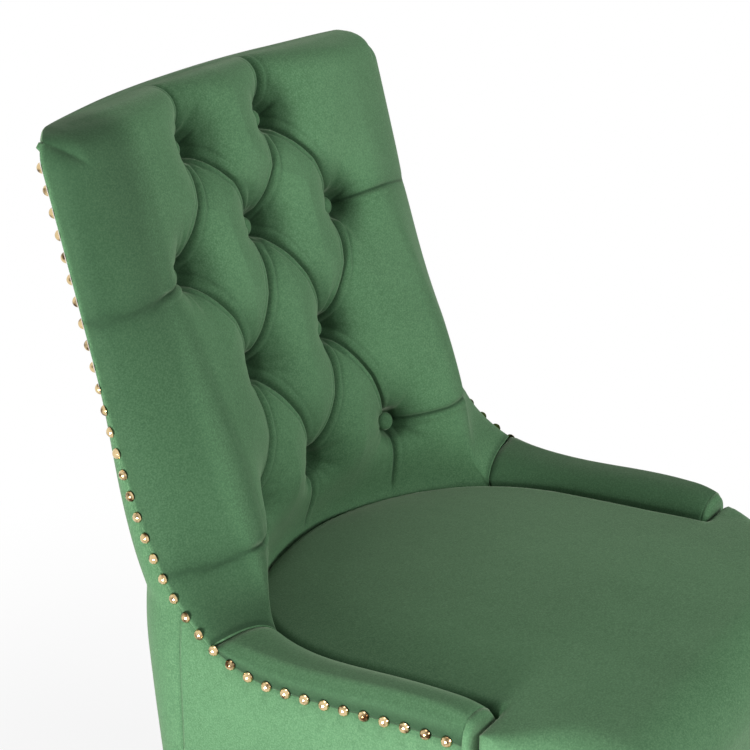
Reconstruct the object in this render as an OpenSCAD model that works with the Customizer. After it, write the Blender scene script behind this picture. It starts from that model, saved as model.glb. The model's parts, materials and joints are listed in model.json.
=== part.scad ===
// Upholstered dining armchair: a tufted, curved back that sweeps down into two low arms,
// a tight T-shaped seat, nail trim along the sweep, and four tapered wooden legs.
// X runs across the chair, Y from front to back, Z up from the floor.
// Inside the functions y = 0 is the front face of the arms.

/* [Overall] */
// Height of the arm tops above the floor
arm_top = 510; // [480:5:550]
// Height of the back's top edge above the floor
back_top = 943; // [880:1:1010]
// Height of the upholstered shell's underside above the floor
shell_bottom = 350; // [320:5:370]
// Width across the outside of the arms at their widest
arm_span = 548; // [530:2:590]
// How much narrower each side is at the back's top corners
back_in = 17; // [10:1:28]

/* [Arms] */
// Thickness of an arm at the seat
arm_w = 59; // [54:1:66]
// How much narrower each side is at the arm fronts
arm_taper = 6; // [0:1:10]
// Distance from the outside of an arm to its ridge
ridge_in = 17; // [14:1:22]
// How far the ridge dips along the arm
arm_dip = 10; // [0:1:14]
// Height of the ridge above the nail line
nail_drop = 27; // [22:1:32]
// Thickness of the panel on each arm's front
facing_t = 3; // [2:0.5:4]

/* [Inner wall] */
// Distance from the arm fronts to the inside back at the seat
seat_reach = 350; // [335:1:365]
// How far the back wraps forward round the seat, to the folds where the arms begin
back_wrap = 86; // [72:1:104]
// How much further forward each fold meets the seat than the nails
fold_slant = 22; // [0:1:26]
// Length over which the inner wall curves round to the back
corner_reach = 200; // [170:5:230]
// Roundness of that curve, 2 is an ellipse
wall_round = 2.2; // [2:0.1:3]
// Height of the seat line below the arm tops
seat_line_drop = 38; // [34:1:46]
// Depth of the covers tucked below the seat line
tuck = 28; // [20:1:34]

/* [Back] */
// How far the middle of the back's top stands behind the inside back at the seat
top_back = 132; // [112:1:148]
// How far the top corners stand before the middle of the top
top_curve = 39; // [20:1:50]
// Lean of the middle of the back at its top, from the vertical
lean_mid = 24; // [16:1:28]
// Lean of the side edges, from the vertical
lean_edge = 15.7; // [12:0.1:20]
// Rounding of the back's side edges
edge_round = 10; // [8:1:14]
// Thickness of the back behind the buttons at its top
top_depth = 34; // [32:1:40]
// Thickness of the back behind the buttons at the seat line
low_depth = 55; // [52:1:60]
// How far the shell's rear turns in at its underside
rear_tuck = 26; // [16:1:28]

/* [Tufting] */
// Spacing of the button columns
col_pitch = 65; // [60:1:68]
// Spacing of the lowest two button rows
row_pitch = 118; // [108:1:120]
// How much less each next spacing is
row_ease = 8; // [0:1:10]
// How far the middle button of the third row sits above its row
mid_lift = 12; // [0:1:14]
// Height of the lowest row above the arm tops
row_low = 43; // [38:1:50]
// Height of the padding's crests above the buttons
crest = 43; // [25:1:50]
// Diameter of a button
button_d = 20; // [16:1:24]
// Height of a button
button_h = 8; // [6:1:10]
// Radius of the flat under each button
pit_flat = 19; // [17:1:21]
// Radius at which a tuft's hollow ends
pit_r = 50; // [44:1:54]
// Depth of the folds between buttons, as a share of the crest height
fold_depth = 0.3; // [0:0.02:0.4]
// Half width of those folds
fold_r = 20; // [16:1:24]

/* [Seat] */
// Reach of the seat before the arm fronts
seat_nose = 172; // [150:1:190]
// How far the sides of the seat's front stay inside the arms' sides
nose_side = 16; // [12:1:24]
// Radius of the seat's front corners, seen from above
nose_corner = 56; // [40:1:66]
// Roll along the seat's front edge
nose_roll = 60; // [40:1:66]
// Roll along the seat's other edges
seat_roll = 14; // [8:1:18]
// How far the seat's top lies below the arm tops at its front
seat_drop = 6; // [4:1:16]
// How far the seat falls towards the back
seat_fall = 26; // [10:1:30]
// Crown across the seat's middle
seat_crown = 10; // [0:1:16]
// Gap between the arm fronts and the seat's wider front
nose_gap = 4; // [3:0.5:6]

/* [Fabric and foam] */
// Thickness of a cover
cover_t = 1.8; // [1.2:0.1:2.4]
// Thickness of the outside panels
panel_t = 3; // [2.4:0.1:3.6]
// Foam left behind a button
foam_min = 6; // [4:0.5:7]
// Thickness of the padding over the front rail
nose_pad = 18; // [14:1:20]
// Thickness of the felt deck over the springs
deck_t = 3; // [2:0.5:4]

/* [Frame] */
// Height of the seat rails
rail_h = 66; // [56:1:70]
// Thickness of the seat rails
rail_t = 20; // [18:1:22]
// Thickness of the arm stumps and arm rails
stump_t = 16; // [14:1:18]
// Depth of an arm stump, front to back
stump_d = 44; // [36:1:52]
// Height of an arm rail
arm_rail_h = 22; // [18:1:26]
// Padding between the highest part of the ridge and the arm rail
arm_rail_drop = 27; // [25:1:32]
// Thickness of a back post
post_t = 22; // [18:1:24]
// Thickness of the bent back rails
back_rail_t = 12; // [10:0.5:14]
// Height of the bent back rails
back_rail_h = 44; // [36:1:50]
// Length of a corner block's short sides
block_l = 62; // [54:1:68]
// Height of a corner block
block_h = 36; // [30:1:44]
// Thickness of the dust cover
dust_t = 1; // [0.8:0.1:1.4]

/* [Springs and webbing] */
// Number of seat springs
springs = 5; // [3:1:6]
// Thickness of the spring wire
wire_t = 3.6; // [3:0.1:4.5]
// Half width of a spring
spring_w = 22; // [18:1:26]
// Length of one bend of a spring
spring_pitch = 24; // [20:1:30]
// Thickness of a spring clip
clip_t = 1.4; // [1:0.1:2]
// Number of webbing straps across the back
straps = 4; // [3:1:5]
// Width of a strap
strap_w = 48; // [40:1:52]
// Thickness of a strap
strap_t = 1.6; // [1.2:0.1:2]

/* [Nails] */
// Spacing of the nails
nail_pitch = 20.5; // [16:0.5:26]
// Diameter of a nail's head
nail_d = 10.6; // [9:0.1:12]
// Height of a nail's head
nail_h = 4; // [3:0.1:5]

/* [Legs] */
// Width of a leg at its top
leg_top_w = 44; // [38:1:48]
// Width of a leg at the floor
leg_foot_w = 26; // [22:1:32]
// Backward splay of the rear legs
rear_splay = 84; // [40:1:100]
// Sideways splay of the rear legs
rear_flare = 6; // [0:1:14]
// Forward lean of the front legs
front_splay = 6; // [0:1:20]
// Diameter of a hanger bolt
bolt_d = 8; // [6:0.5:10]
// Depth of a hanger bolt in the leg
bolt_in = 34; // [28:1:40]
// Diameter of a glide
glide_d = 20; // [16:1:21]
// Height of a glide
glide_h = 4; // [3:0.5:6]

/* [Hidden] */
$fn = 48;

// Heights
clear = 0.3;                                   // between pieces that face each other
curve_clear = 0.9;                             // under small pieces that sit on curved faces
hem_z = shell_bottom + clear;
rail_z = shell_bottom + dust_t;
rail_top = rail_z + rail_h;
deck_z = rail_top + wire_t + clip_t;
deck_top = deck_z + deck_t;
seat_line = arm_top - seat_line_drop;
arm_rail_top = arm_top - arm_rail_drop;
arm_rail_z = arm_rail_top - arm_rail_h;

// Widths and depths
seat_w = arm_span - 2 * arm_w;                 // between the arms at the seat
nose_w = arm_span - 2 * nose_side;
back_span = arm_span - 2 * back_in;
arm_len = seat_reach - back_wrap;              // from an arm's front face to its fold
top_reach = seat_reach + top_back;
corner_y = seat_reach - corner_reach;
seam_in = 36;                                  // the outside arm's rear seam, behind the arm's fold
seam_y = arm_len + seam_in;
stump_x = arm_span / 2 - arm_taper - panel_t - clear;      // outer face of the arm stumps
side_rail_x = stump_x - stump_t - clear;                   // outer face of the side rails
post_x = side_rail_x - rail_t - clear;                     // outer face of the back posts
post_in = post_x - post_t;
post_y = seam_y + 3;
front_rail_y = nose_pad + cover_t + clear - seat_nose;
rail_cut = min(rail_t - 2, 0.4 * nose_corner); // the front rail's corners are cut inside the nose's corners
leg_x = [nose_w / 2 - leg_top_w / 2 - 6, post_x - post_t / 2];
leg_y = [front_rail_y + rail_t / 2, post_y + leg_top_w / 2 - 1];

function lerp(a, b, t) = a + (b - a) * t;
function clamp(t, a = 0, b = 1) = min(b, max(a, t));
function smooth(t) = let (s = clamp(t)) s * s * (3 - 2 * s);
function unit(v) = v / norm(v);
function mirror_x(p) = [-p.x, p.y, p.z];
function bezier(p, t) =
    pow(1 - t, 3) * p[0] + 3 * t * pow(1 - t, 2) * p[1] + 3 * t * t * (1 - t) * p[2] + pow(t, 3) * p[3];
// Drop of a rolled edge of radius r at distance d inside it
function roll(d, r) = d >= r ? 0 : r - sqrt(r * r - pow(r - max(d, 0), 2));
// Distance from point p to the segment from a to b
function to_segment(p, a, b) =
    let (t = clamp(((p - a) * (b - a)) / ((b - a) * (b - a)))) norm(p - a - t * (b - a));

// Solids from grids of points. front and rear hold as many rows and columns.
module slab(front, rear) {
    rows = len(front);
    cols = len(front[0]);
    count = rows * cols;
    points = concat([for (row = front) each row], [for (row = rear) each row]);
    function at(i, j) = i * cols + j;
    polyhedron(points, concat(
        [for (i = [0:rows - 2]) for (j = [0:cols - 2]) each [
            [at(i, j), at(i + 1, j), at(i + 1, j + 1)], [at(i, j), at(i + 1, j + 1), at(i, j + 1)],
            [count + at(i, j), count + at(i + 1, j + 1), count + at(i + 1, j)],
            [count + at(i, j), count + at(i, j + 1), count + at(i + 1, j + 1)]]],
        [for (i = [0:rows - 2]) each [
            [at(i, 0), count + at(i, 0), count + at(i + 1, 0)],
            [at(i, 0), count + at(i + 1, 0), at(i + 1, 0)],
            [at(i, cols - 1), at(i + 1, cols - 1), count + at(i + 1, cols - 1)],
            [at(i, cols - 1), count + at(i + 1, cols - 1), count + at(i, cols - 1)]]],
        [for (j = [0:cols - 2]) each [
            [at(0, j), at(0, j + 1), count + at(0, j + 1)],
            [at(0, j), count + at(0, j + 1), count + at(0, j)],
            [at(rows - 1, j), count + at(rows - 1, j), count + at(rows - 1, j + 1)],
            [at(rows - 1, j), count + at(rows - 1, j + 1), at(rows - 1, j + 1)]]]
    ));
}

// A closed skin of rings between two tips
module ringed(tip, rings, tail) {
    n = len(rings[0]);
    last = len(rings) * n + 1;
    function at(i, j) = 1 + i * n + j % n;
    polyhedron(concat([tip], [for (ring = rings) each ring], [tail]), concat(
        [for (j = [0:n - 1]) [0, at(0, j + 1), at(0, j)]],
        [for (i = [0:len(rings) - 2]) for (j = [0:n - 1]) each [
            [at(i, j), at(i + 1, j + 1), at(i + 1, j)], [at(i, j), at(i, j + 1), at(i + 1, j + 1)]]],
        [for (j = [0:n - 1]) [last, at(len(rings) - 1, j), at(len(rings) - 1, j + 1)]]
    ));
}

module placed() {
    translate([0, -mid_y, 0]) children();
}

module on_side(side) {
    mirror([side < 0 ? 1 : 0, 0, 0]) children();
}

// Inner wall: half its width at y, drawn in by off
function arc_share(t, power) = pow(max(0, 1 - pow(t, power)), 1 / power);
function wall_x(y, off = 0) = (seat_w / 2 - off)
    * (y <= corner_y ? 1 : arc_share((y - corner_y) / (corner_reach - off), wall_round));
// Where the arm's section meets the back, from the seat line (q = 0) to the nail line (q = 1)
function fold_y(q) = arm_len - fold_slant * (1 - q);
// The same curve from the middle of the back (f = 0) to the arm's fold (f = 1)
fold_angle = acos(pow((fold_y(0) - corner_y) / corner_reach, wall_round / 2));
function wall_pt(f, off = 0) = let (a = f * fold_angle)
    [(seat_w / 2 - off) * pow(sin(a), 2 / wall_round),
     corner_y + (corner_reach - off) * pow(cos(a), 2 / wall_round)];

// Arms: outer face, ridge and nail line along y
swoop_y = arm_len * 0.74;
swoop_rise = 18;
function side_x(y) = arm_span / 2 - arm_taper * pow(1 - clamp(y / swoop_y), 1.5);
function dip(y) = arm_dip * pow(sin(clamp(90 * (y / arm_len - 0.15) / 0.57, 0, 180)), 2);
function ridge_z(y) = arm_top - dip(y);
function arm_nail_z(y) =
    arm_top - nail_drop - 0.6 * dip(y) + swoop_rise * pow(max(0, (y - swoop_y) / (arm_len - swoop_y)), 2);
// Point of the arm's section, from the seat line (q = 0) over the ridge to the nail line (q = 1)
q_ridge = 0.6;
arm_round = 2.3;
function arm_pt(y, q, off = 0) = let (xr = side_x(y) - ridge_in, zn = arm_nail_z(y), zr = ridge_z(y) - off)
    q <= q_ridge
        ? let (a = 90 * q / q_ridge, xi = wall_x(y) + off)
            [lerp(xr, xi, pow(cos(a), 2 / arm_round)), y, lerp(seat_line, zr, pow(sin(a), 2 / arm_round))]
        : let (a = 90 * (q - q_ridge) / (1 - q_ridge))
            [xr + (ridge_in - off) * pow(sin(a), 2 / arm_round), y, lerp(zn, zr, pow(cos(a), 2 / arm_round))];

// Back: its button surface, u from the middle (0) to the nail line (1), v from the seat to the top
u_wall = 0.62;
u_ridge = 0.85;
lean_seat = 3;
lean_sweep = 64;
back_rise = back_top - seat_line;
function low_pt(u) = u <= u_wall
    ? let (p = wall_pt(u / u_wall)) [p.x, p.y, seat_line]
    : let (q = u <= u_ridge ? q_ridge * (u - u_wall) / (u_ridge - u_wall)
        : lerp(q_ridge, 1, (u - u_ridge) / (1 - u_ridge))) arm_pt(fold_y(q), q);
function top_pt(u) = let (xe = back_span / 2 - edge_round) u <= u_ridge
    ? [xe * u / u_ridge, top_reach - top_curve * pow(u / u_ridge, 2), back_top]
    : let (a = 90 * (u - u_ridge) / (1 - u_ridge))
        [xe + edge_round * sin(a), top_reach - top_curve + edge_round * (1 - cos(a)), back_top];
function low_lean(u) = lean_seat + (lean_sweep - lean_seat) * pow(min(1, u / u_ridge), 1.8);
function half_base(u, v) =
    let (low = low_pt(u), top = top_pt(u),
         a = low_lean(u), b = lerp(lean_mid, lean_edge, min(1, u / u_ridge)),
         reach_a = back_rise * lerp(0.34, 0.234, u * u), reach_b = back_rise * lerp(0.34, 0.637, u * u),
         x = lerp(low.x, top.x, smooth(u)))
    bezier([low, [x, low.y + reach_a * sin(a), low.z + reach_a * cos(a)],
        top - reach_b * [0, sin(b), cos(b)], top], v);
function base(u, v) = u < 0 ? mirror_x(half_base(-u, v)) : half_base(u, v);
step = 0.01;
function base_normal(u, v) = unit(cross(
    base(min(u + step, 1), v) - base(max(u - step, -1), v),
    base(u, min(v + step, 1)) - base(u, max(v - step, 0))));
function off_base(u, v, d) = base(u, v) + d * base_normal(u, v);

// Where the base crosses a height or a depth, by halving
function v_at_z(u, z, a = 0, b = 1, n = 16) = n == 0 ? (a + b) / 2 :
    let (m = (a + b) / 2) base(u, m).z < z ? v_at_z(u, z, m, b, n - 1) : v_at_z(u, z, a, m, n - 1);
function v_at_y(u, y, a = 0, b = 1, n = 16) = n == 0 ? (a + b) / 2 :
    let (m = (a + b) / 2) base(u, m).y < y ? v_at_y(u, y, m, b, n - 1) : v_at_y(u, y, a, m, n - 1);
// u of a button: its column is straight, so x is matched at its height
function u_at_x(x, z, a = 0, b = 0.8, n = 14) = n == 0 ? (a + b) / 2 :
    let (m = (a + b) / 2)
    base(m, v_at_z(m, z)).x < x ? u_at_x(x, z, m, b, n - 1) : u_at_x(x, z, a, m, n - 1);

// Outside of the shell: its plan at height z is a superellipse behind the nail line or the seam,
// full and round round the seat, and leaving the nail line nearly straight towards the top
shell_round = 2.65;
shell_flat = [2.6, 1.15];                      // its powers across and in depth near the top
flat_from = arm_top + 34;
flat_to = arm_top + 244;
top_drop = 12;                                 // outside back's top edge below the back's top
low_rear = seat_reach + low_depth;
seam_top = base(1, v_at_y(1, seam_y));         // where the nail line leaves the seam
seam_flare = 60;                               // height below it in which the sides reach full width
function rim_v(z) = v_at_z(1, z);
function rim_y(z) = z <= seam_top.z ? seam_y : base(1, rim_v(z)).y;
function rim_x(z) = z > seam_top.z ? base(1, rim_v(z)).x
    : lerp(arm_span / 2, seam_top.x, pow(clamp(1 - (seam_top.z - z) / seam_flare), 2));
function rear_at(z) = z < arm_top
    ? low_rear - rear_tuck * pow((arm_top - z) / (arm_top - shell_bottom), 1.4)
    : lerp(low_rear, top_reach + top_depth, pow((z - arm_top) / (back_top - arm_top), 1.3));
function shell_power(z, i) = lerp(shell_round, shell_flat[i], smooth((z - flat_from) / (flat_to - flat_from)));
// s runs from the middle of the back (0) to the seam or nail line (1)
function shell_pt(s, z, off = 0) =
    let (a = 90 * abs(s), y = rim_y(z), x = (rim_x(z) - off) * pow(sin(a), 2 / shell_power(z, 0)))
    [s < 0 ? -x : x, y + clear + (rear_at(z) - y - off) * pow(cos(a), 2 / shell_power(z, 1)), z];
function shell_y(x, z, off = 0) = let (y = rim_y(z), t = abs(x) / (rim_x(z) - off))
    y + (rear_at(z) - y - off) * pow(max(0, 1 - pow(t, shell_power(z, 0))), 1 / shell_power(z, 1));
// Height of the nail line at y
function nail_z(y) = y <= arm_len ? arm_nail_z(y) : base(1, v_at_y(1, y)).z;
// Outer face at y and z: behind the fold it turns from the arm's side to the seam,
// and its upper part meets the nail line
nail_blend = 60;
function side_blend(y, z) = lerp(side_x(y), rim_x(z), smooth((y - arm_len) / seam_in));
function outer_x(y, z) = y <= arm_len ? side_x(y)
    : let (p = base(1, v_at_y(1, y)))
        side_blend(y, z) + (p.x - side_blend(y, p.z)) * smooth(1 - (p.z - z) / nail_blend);

// The whole chair is centred in Y between the seat's front and its rearmost point.
seat_clear = 1;                                // between the seat's cover and the walls
rear_y = max(rear_at(back_top - top_drop) + clear, leg_y[1] + rear_splay + leg_foot_w / 2);
mid_y = (rear_y + seat_clear - seat_nose) / 2;

// Tufts: buttons as [x, z], folds as pairs of such points
function row_z(r) = arm_top + row_low + row_pitch * r - row_ease * r * (r - 1) / 2;
tuft_rows = 4;
buttons = [for (r = [0:tuft_rows - 1]) for (c = r % 2 == 0 ? [-2, 0, 2] : [-1, 1])
    [c * col_pitch, row_z(r) + (r == 2 && c == 0 ? mid_lift : 0)]];
folds = concat(
    [for (a = buttons) for (b = buttons)
        if (b.y > a.y + mid_lift && b.y < a.y + 1.5 * row_pitch && abs(b.x - a.x) < 1.5 * col_pitch
            && abs(b.x - a.x) > 0.5 * col_pitch) [a, b]],
    [for (b = buttons) if (abs(b.x) > 1.5 * col_pitch) [b, [sign(b.x) * back_span / 2, b.y - 3]]],
    [for (b = buttons) if (b.y > row_z(tuft_rows - 1) - 1) [b, [b.x * 1.1, back_top]]],
    [for (b = buttons) if (b.y < row_z(0) + 1) [b, [b.x * 0.96, seat_line]]]);
function nearest(p) = min([for (b = buttons) norm(p - b)]);
function nearest_fold(p) = min([for (f = folds) to_segment(p, f[0], f[1])]);
top_roll = 34;
low_swell = 95;
wing_rise = 130;                               // above the arms, where the padding of the wings is full
// Height of the cover above the button surface
function pad(u, v) =
    let (p = base(u, v), q = [p.x, p.z],
         side = 1 - pow(clamp(abs(u) / 0.95), 5),
         low = smooth((p.z - seat_line) / low_swell) * lerp(1, 0.25, smooth((abs(u) - 0.5) / 0.35)
             * (1 - smooth((p.z - arm_top) / wing_rise))),
         high = sqrt(1 - pow(clamp((p.z - back_top + top_roll) / top_roll), 2)),
         pit = smooth((nearest(q) - pit_flat) / (pit_r - pit_flat)),
         fold = exp(-pow(nearest_fold(q) / fold_r, 2)))
    crest * side * low * high * pit * (1 - fold_depth * fold);

// Grids over the back. The first row tucks below the seat line, or closes at the arm's fold.
back_cols = [for (i = [-20:20]) let (t = i / 20) sign(t) * (0.75 * abs(t) + 0.25 * pow(abs(t), 2))];
back_rows = [for (j = [0:25]) j / 25];
function tucked(u) = let (w = smooth((u_wall + 0.02 - abs(u)) / 0.08), a = low_lean(abs(u)))
    lerp([0, -sin(a), -cos(a)], [0, 0, -tuck], w);
function back_grid(depth, share = 1) = concat(
    [[for (u = back_cols) if (abs(u) <= share) off_base(u, 0, depth(u, 0)) + tucked(u)]],
    [for (v = back_rows) if (v <= share)
        [for (u = back_cols) if (abs(u) <= share) off_base(u, v, depth(u, v))]]);
foam_share = 0.93;                             // the foam stops short of the cover's edges
foam_off = foam_min + cover_t + clear;
strap_off = foam_off + 3 * clear;              // the webbing's front behind the button surface
foam_rear = function (u, v) -lerp(foam_off, 0.5 * foam_off, smooth((abs(u) - 0.6) / 0.4));
foam_front = function (u, v) pad(u, v) - cover_t - clear;
cover_front = function (u, v) pad(u, v);
cover_rear = function (u, v) pad(u, v) - cover_t;

// Rows that carry the back's cover over its top edge to the outside back
wrap_rows = [0.34, 0.67, 1];
function wrap_pt(u, w, off) =
    let (p = off_base(u, 1, -off), x = base(u, 1).x,
         y = max(shell_y(x, back_top - top_drop), p.y + 2))
    [p.x, lerp(p.y, y - off, w), back_top - off - (top_drop - cover_t - clear) * w * w];

// Seat: its outline drawn in by off, from the middle of the front round to the middle of the back
nose_steps = 6;
wall_steps = 12;
nose_sides = [-90, -65, -50, -38, -28, -20];
step_in = 2;                                   // the nose's rear edge ends just outside the arm stumps
function seat_half(off = 0) =
    let (w = nose_w / 2 - off, front = off - seat_nose, c = nose_corner - off,
         rear = -nose_gap - off, inner = seat_w / 2 - off)
    concat(
        [for (i = [0:3]) [(w - c) * i / 4, front]],
        [for (i = [0:nose_steps]) let (a = 90 * i / nose_steps)
            [w - c + c * sin(a), front + c * (1 - cos(a))]],
        [for (y = nose_sides) if (y < rear - 8) [w, y]],
        [[w, rear - 7], [min(w - step_in, side_rail_x + 3), rear],
         [min(w - 2 * step_in, side_rail_x + 1), rear], [inner + 3, rear], [inner, rear + 2]],
        [for (y = [0.25, 0.5, 0.75, 1]) [inner, corner_y * y]],
        [for (i = [1:wall_steps]) seat_wall(1 - i / wall_steps, off)]);
// The inner wall's curve, all the way round from the arm (f = 1) to the back (f = 0)
function seat_wall(f, off) = let (a = 90 * f)
    [(seat_w / 2 - off) * pow(sin(a), 2 / wall_round),
     corner_y + (corner_reach - off) * pow(cos(a), 2 / wall_round)];
function seat_outline(off = 0) = let (h = seat_half(off), n = len(h))
    concat(h, [for (i = [n - 2:-1:1]) [-h[i].x, h[i].y]]);
seat_mid = [0, -60];
// Distance inside the nose's outline
function nose_in(p) = let (qx = abs(p.x) - nose_w / 2 + nose_corner, qy = nose_corner - seat_nose - p.y)
    qx > 0 && qy > 0 ? nose_corner - norm([qx, qy]) : min(nose_w / 2 - abs(p.x), p.y + seat_nose);
function wall_in(p) = min(wall_x(p.y) - abs(p.x), seat_reach - p.y);
// Height of the seat's top at p. Its edges' rolls fade towards the arms' fronts, over nose_blend before
// them and over blend_y behind them.
blend_y = 60;
nose_blend = 90;
function seat_z(p) =
    let (back = clamp(p.y / seat_reach),
         w = p.y > 0 ? max(wall_x(p.y), blend_y) : lerp(seat_w / 2, nose_w / 2, clamp(-p.y / blend_y)),
         edge = p.y > 0 ? roll(wall_in(p), seat_roll * smooth(p.y / blend_y))
             : roll(nose_in(p), nose_roll * smooth(-p.y / nose_blend) + 0.1))
    arm_top - seat_drop - seat_fall * pow(back, 1.3) - seat_crown * pow(min(1, abs(p.x) / w), 2) - edge;
function to_mid(p, f) = seat_mid + f * (p - seat_mid);
ring_shares = [0.25, 0.5, 0.66, 0.77, 0.85, 0.91, 0.955, 0.985, 1];
function seat_ring(f, off, down) = [for (p = seat_outline(off))
    let (q = to_mid(p, f)) [q.x, q.y, seat_z(q) - down]];
// Lower rim of the seat's cover: at the shell's underside round the nose, tucked behind it
function seat_hem(off) = [for (p = seat_outline(off)) let (b = -nose_gap - off)
    [p.x, p.y, p.y < b - 1 || p.y < b + 1 && abs(p.x) > side_rail_x + 2 ? hem_z : seat_line - tuck]];
seat_tip = [seat_mid.x, seat_mid.y, seat_z(seat_mid)];

// Path of the nails: up an arm's front edge, back along the arm, then up the back
front_in = 8;
front_bend = 12;
nail_low = shell_bottom + 14;
nail_top = back_top - 18;
nail_path = concat(
    [[side_x(front_in), front_in, nail_low]],
    [for (i = [0:4]) let (a = 22.5 * i, y = front_in + front_bend * (1 - cos(a)))
        [side_x(y), y, arm_nail_z(front_in + front_bend) - front_bend * (1 - sin(a))]],
    [for (i = [1:20]) let (y = lerp(front_in + front_bend, arm_len, i / 20)) [side_x(y), y, arm_nail_z(y)]],
    [for (i = [1:40]) base(1, rim_v(nail_top) * i / 40)]);
function lengths(path, i = 0, sum = 0) = i == len(path) - 1 ? [sum] :
    concat([sum], lengths(path, i + 1, sum + norm(path[i + 1] - path[i])));
nail_lengths = lengths(nail_path);
nail_total = nail_lengths[len(nail_lengths) - 1];
nail_count = floor(nail_total / nail_pitch) + 1;
function on_path(d, i = 0) = let (from = nail_lengths[i], to = nail_lengths[i + 1])
    i >= len(nail_path) - 2 || to >= d
        ? lerp(nail_path[i], nail_path[i + 1], clamp((d - from) / (to - from))) : on_path(d, i + 1);

// Seat frame
module front_rail() {
    w = side_rail_x;
    y = [front_rail_y, front_rail_y + rail_t];
    color("burlywood") placed() difference() {
        translate([0, 0, rail_z]) linear_extrude(rail_h) polygon([[w, y[1]], [-w, y[1]],
            [-w, y[0] + rail_cut], [rail_cut - w, y[0]], [w - rail_cut, y[0]], [w, y[0] + rail_cut]]);
        for (x = [-leg_x[0], leg_x[0]]) bolt_bore(x, leg_y[0], rail_z, bolt_up + clear);
    }
}

rear_rail_y = min(seat_reach - 14, shell_y(post_in, rail_z, panel_t) - rail_t - 4 * clear);
module rear_rail() {
    w = post_in - clear;
    color("burlywood") placed() translate([-w, rear_rail_y, rail_z]) cube([2 * w, rail_t, rail_h]);
}

module side_rail(side) {
    y0 = front_rail_y + rail_t + clear;
    color("burlywood") placed() on_side(side)
        translate([side_rail_x - rail_t, y0, rail_z]) cube([rail_t, rear_rail_y - y0, rail_h]);
}

module left_side_rail() side_rail(1);
module right_side_rail() side_rail(-1);

// Blocks glued into the four corners, cut across their inner side
block_end = 12;
module corner_block(x, y, inward) {
    linear_extrude(block_h - clear) polygon([
        [x, y], [x - block_l, y], [x - block_l, y + inward * block_end],
        [x - block_end, y + inward * block_l], [x, y + inward * block_l]]);
}

module corner_blocks() {
    x = side_rail_x - rail_t - clear;
    color("tan") placed() for (side = [1, -1]) on_side(side) translate([0, 0, rail_top - block_h]) {
        corner_block(x, front_rail_y + rail_t + clear, 1);
        corner_block(x, post_y - clear, -1);
    }
}

bolt_up = 30;
module bolt_bore(x, y, z, depth) {
    translate([x, y, z - 1]) cylinder(d = bolt_d + 2 * clear, h = depth + 1);
}

// Back frame: band-sawn posts, from the seat rails up the lean of the back. Their faces follow the
// webbing in front and the shell behind.
post_top = back_top - top_drop - 4;
post_heights = [for (i = [0:24]) lerp(rail_z, post_top, i / 24)];
post_widths = [post_in, (post_in + post_x) / 2, post_x];
function post_front_y(x, z) = let (u = u_at_x(x, z))
    base(u, v_at_z(u, z)).y + (strap_off + strap_t + clear) / cos(lean_edge);
module back_post(side) {
    front = [for (z = post_heights) [for (x = post_widths) [x, max(post_y, post_front_y(x, z)), z]]];
    rear = [for (z = post_heights) [for (x = post_widths) [x, shell_y(x, z, panel_t) - 3 * clear, z]]];
    color("burlywood") placed() on_side(side) difference() {
        slab(front, rear);
        bolt_bore(leg_x[1], leg_y[1], rail_z, bolt_up + clear);
    }
}

module left_back_post() back_post(1);
module right_back_post() back_post(-1);

// A bent rail between the posts, behind the webbing, from v0 to v1
module bent_rail(v0, v1) {
    front = -strap_off - strap_t - clear;
    grid = function (d) [for (v = [v0, (v0 + v1) / 2, v1]) [for (i = [-10:10])
        let (x = (post_in - clear) * i / 10, p = off_base(0.7 * i / 10, v, d))
        [x, min(p.y, shell_y(x, p.z, panel_t) - 3 * clear), p.z]]];
    color("burlywood") placed() slab(grid(front), grid(front - back_rail_t));
}

crest_v = v_at_z(0, back_top - top_drop - cover_t - 3);
module crest_rail() bent_rail(v_at_z(0, base(0, crest_v).z - back_rail_h), crest_v);

// The lower rail is straight and flat, just above the seat
low_rail_z = seat_line - tuck - 8;
module lower_back_rail() {
    w = post_in - clear;
    y = seat_reach + foam_off + 4 * clear;
    depth = min(back_rail_t, shell_y(w, low_rail_z, panel_t) - y - 3 * clear);
    color("burlywood") placed() translate([-w, y, low_rail_z]) cube([2 * w, depth, back_rail_h]);
}

// Arm frame
module arm_stump(side) {
    color("burlywood") placed() on_side(side) translate([stump_x - stump_t, facing_t + clear, rail_z])
        cube([stump_t, stump_d, arm_rail_z - rail_z]);
}

module left_arm_stump() arm_stump(1);
module right_arm_stump() arm_stump(-1);

// The arm rail turns in behind the arm to meet the back post
rail_turn = 24;
module arm_rail(side) {
    x = [post_x + clear, stump_x - stump_t, stump_x];
    y = [facing_t + clear, post_y, post_y + rail_turn];
    color("burlywood") placed() on_side(side) translate([0, 0, arm_rail_z]) linear_extrude(arm_rail_h)
        polygon([[x[2], y[0]], [x[2], y[1] + 4], [x[2] - 14, y[2]], [x[0], y[2]], [x[0], y[1]],
            [x[1], y[1] - 22], [x[1], y[0]]]);
}

module left_arm_rail() arm_rail(1);
module right_arm_rail() arm_rail(-1);

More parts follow.
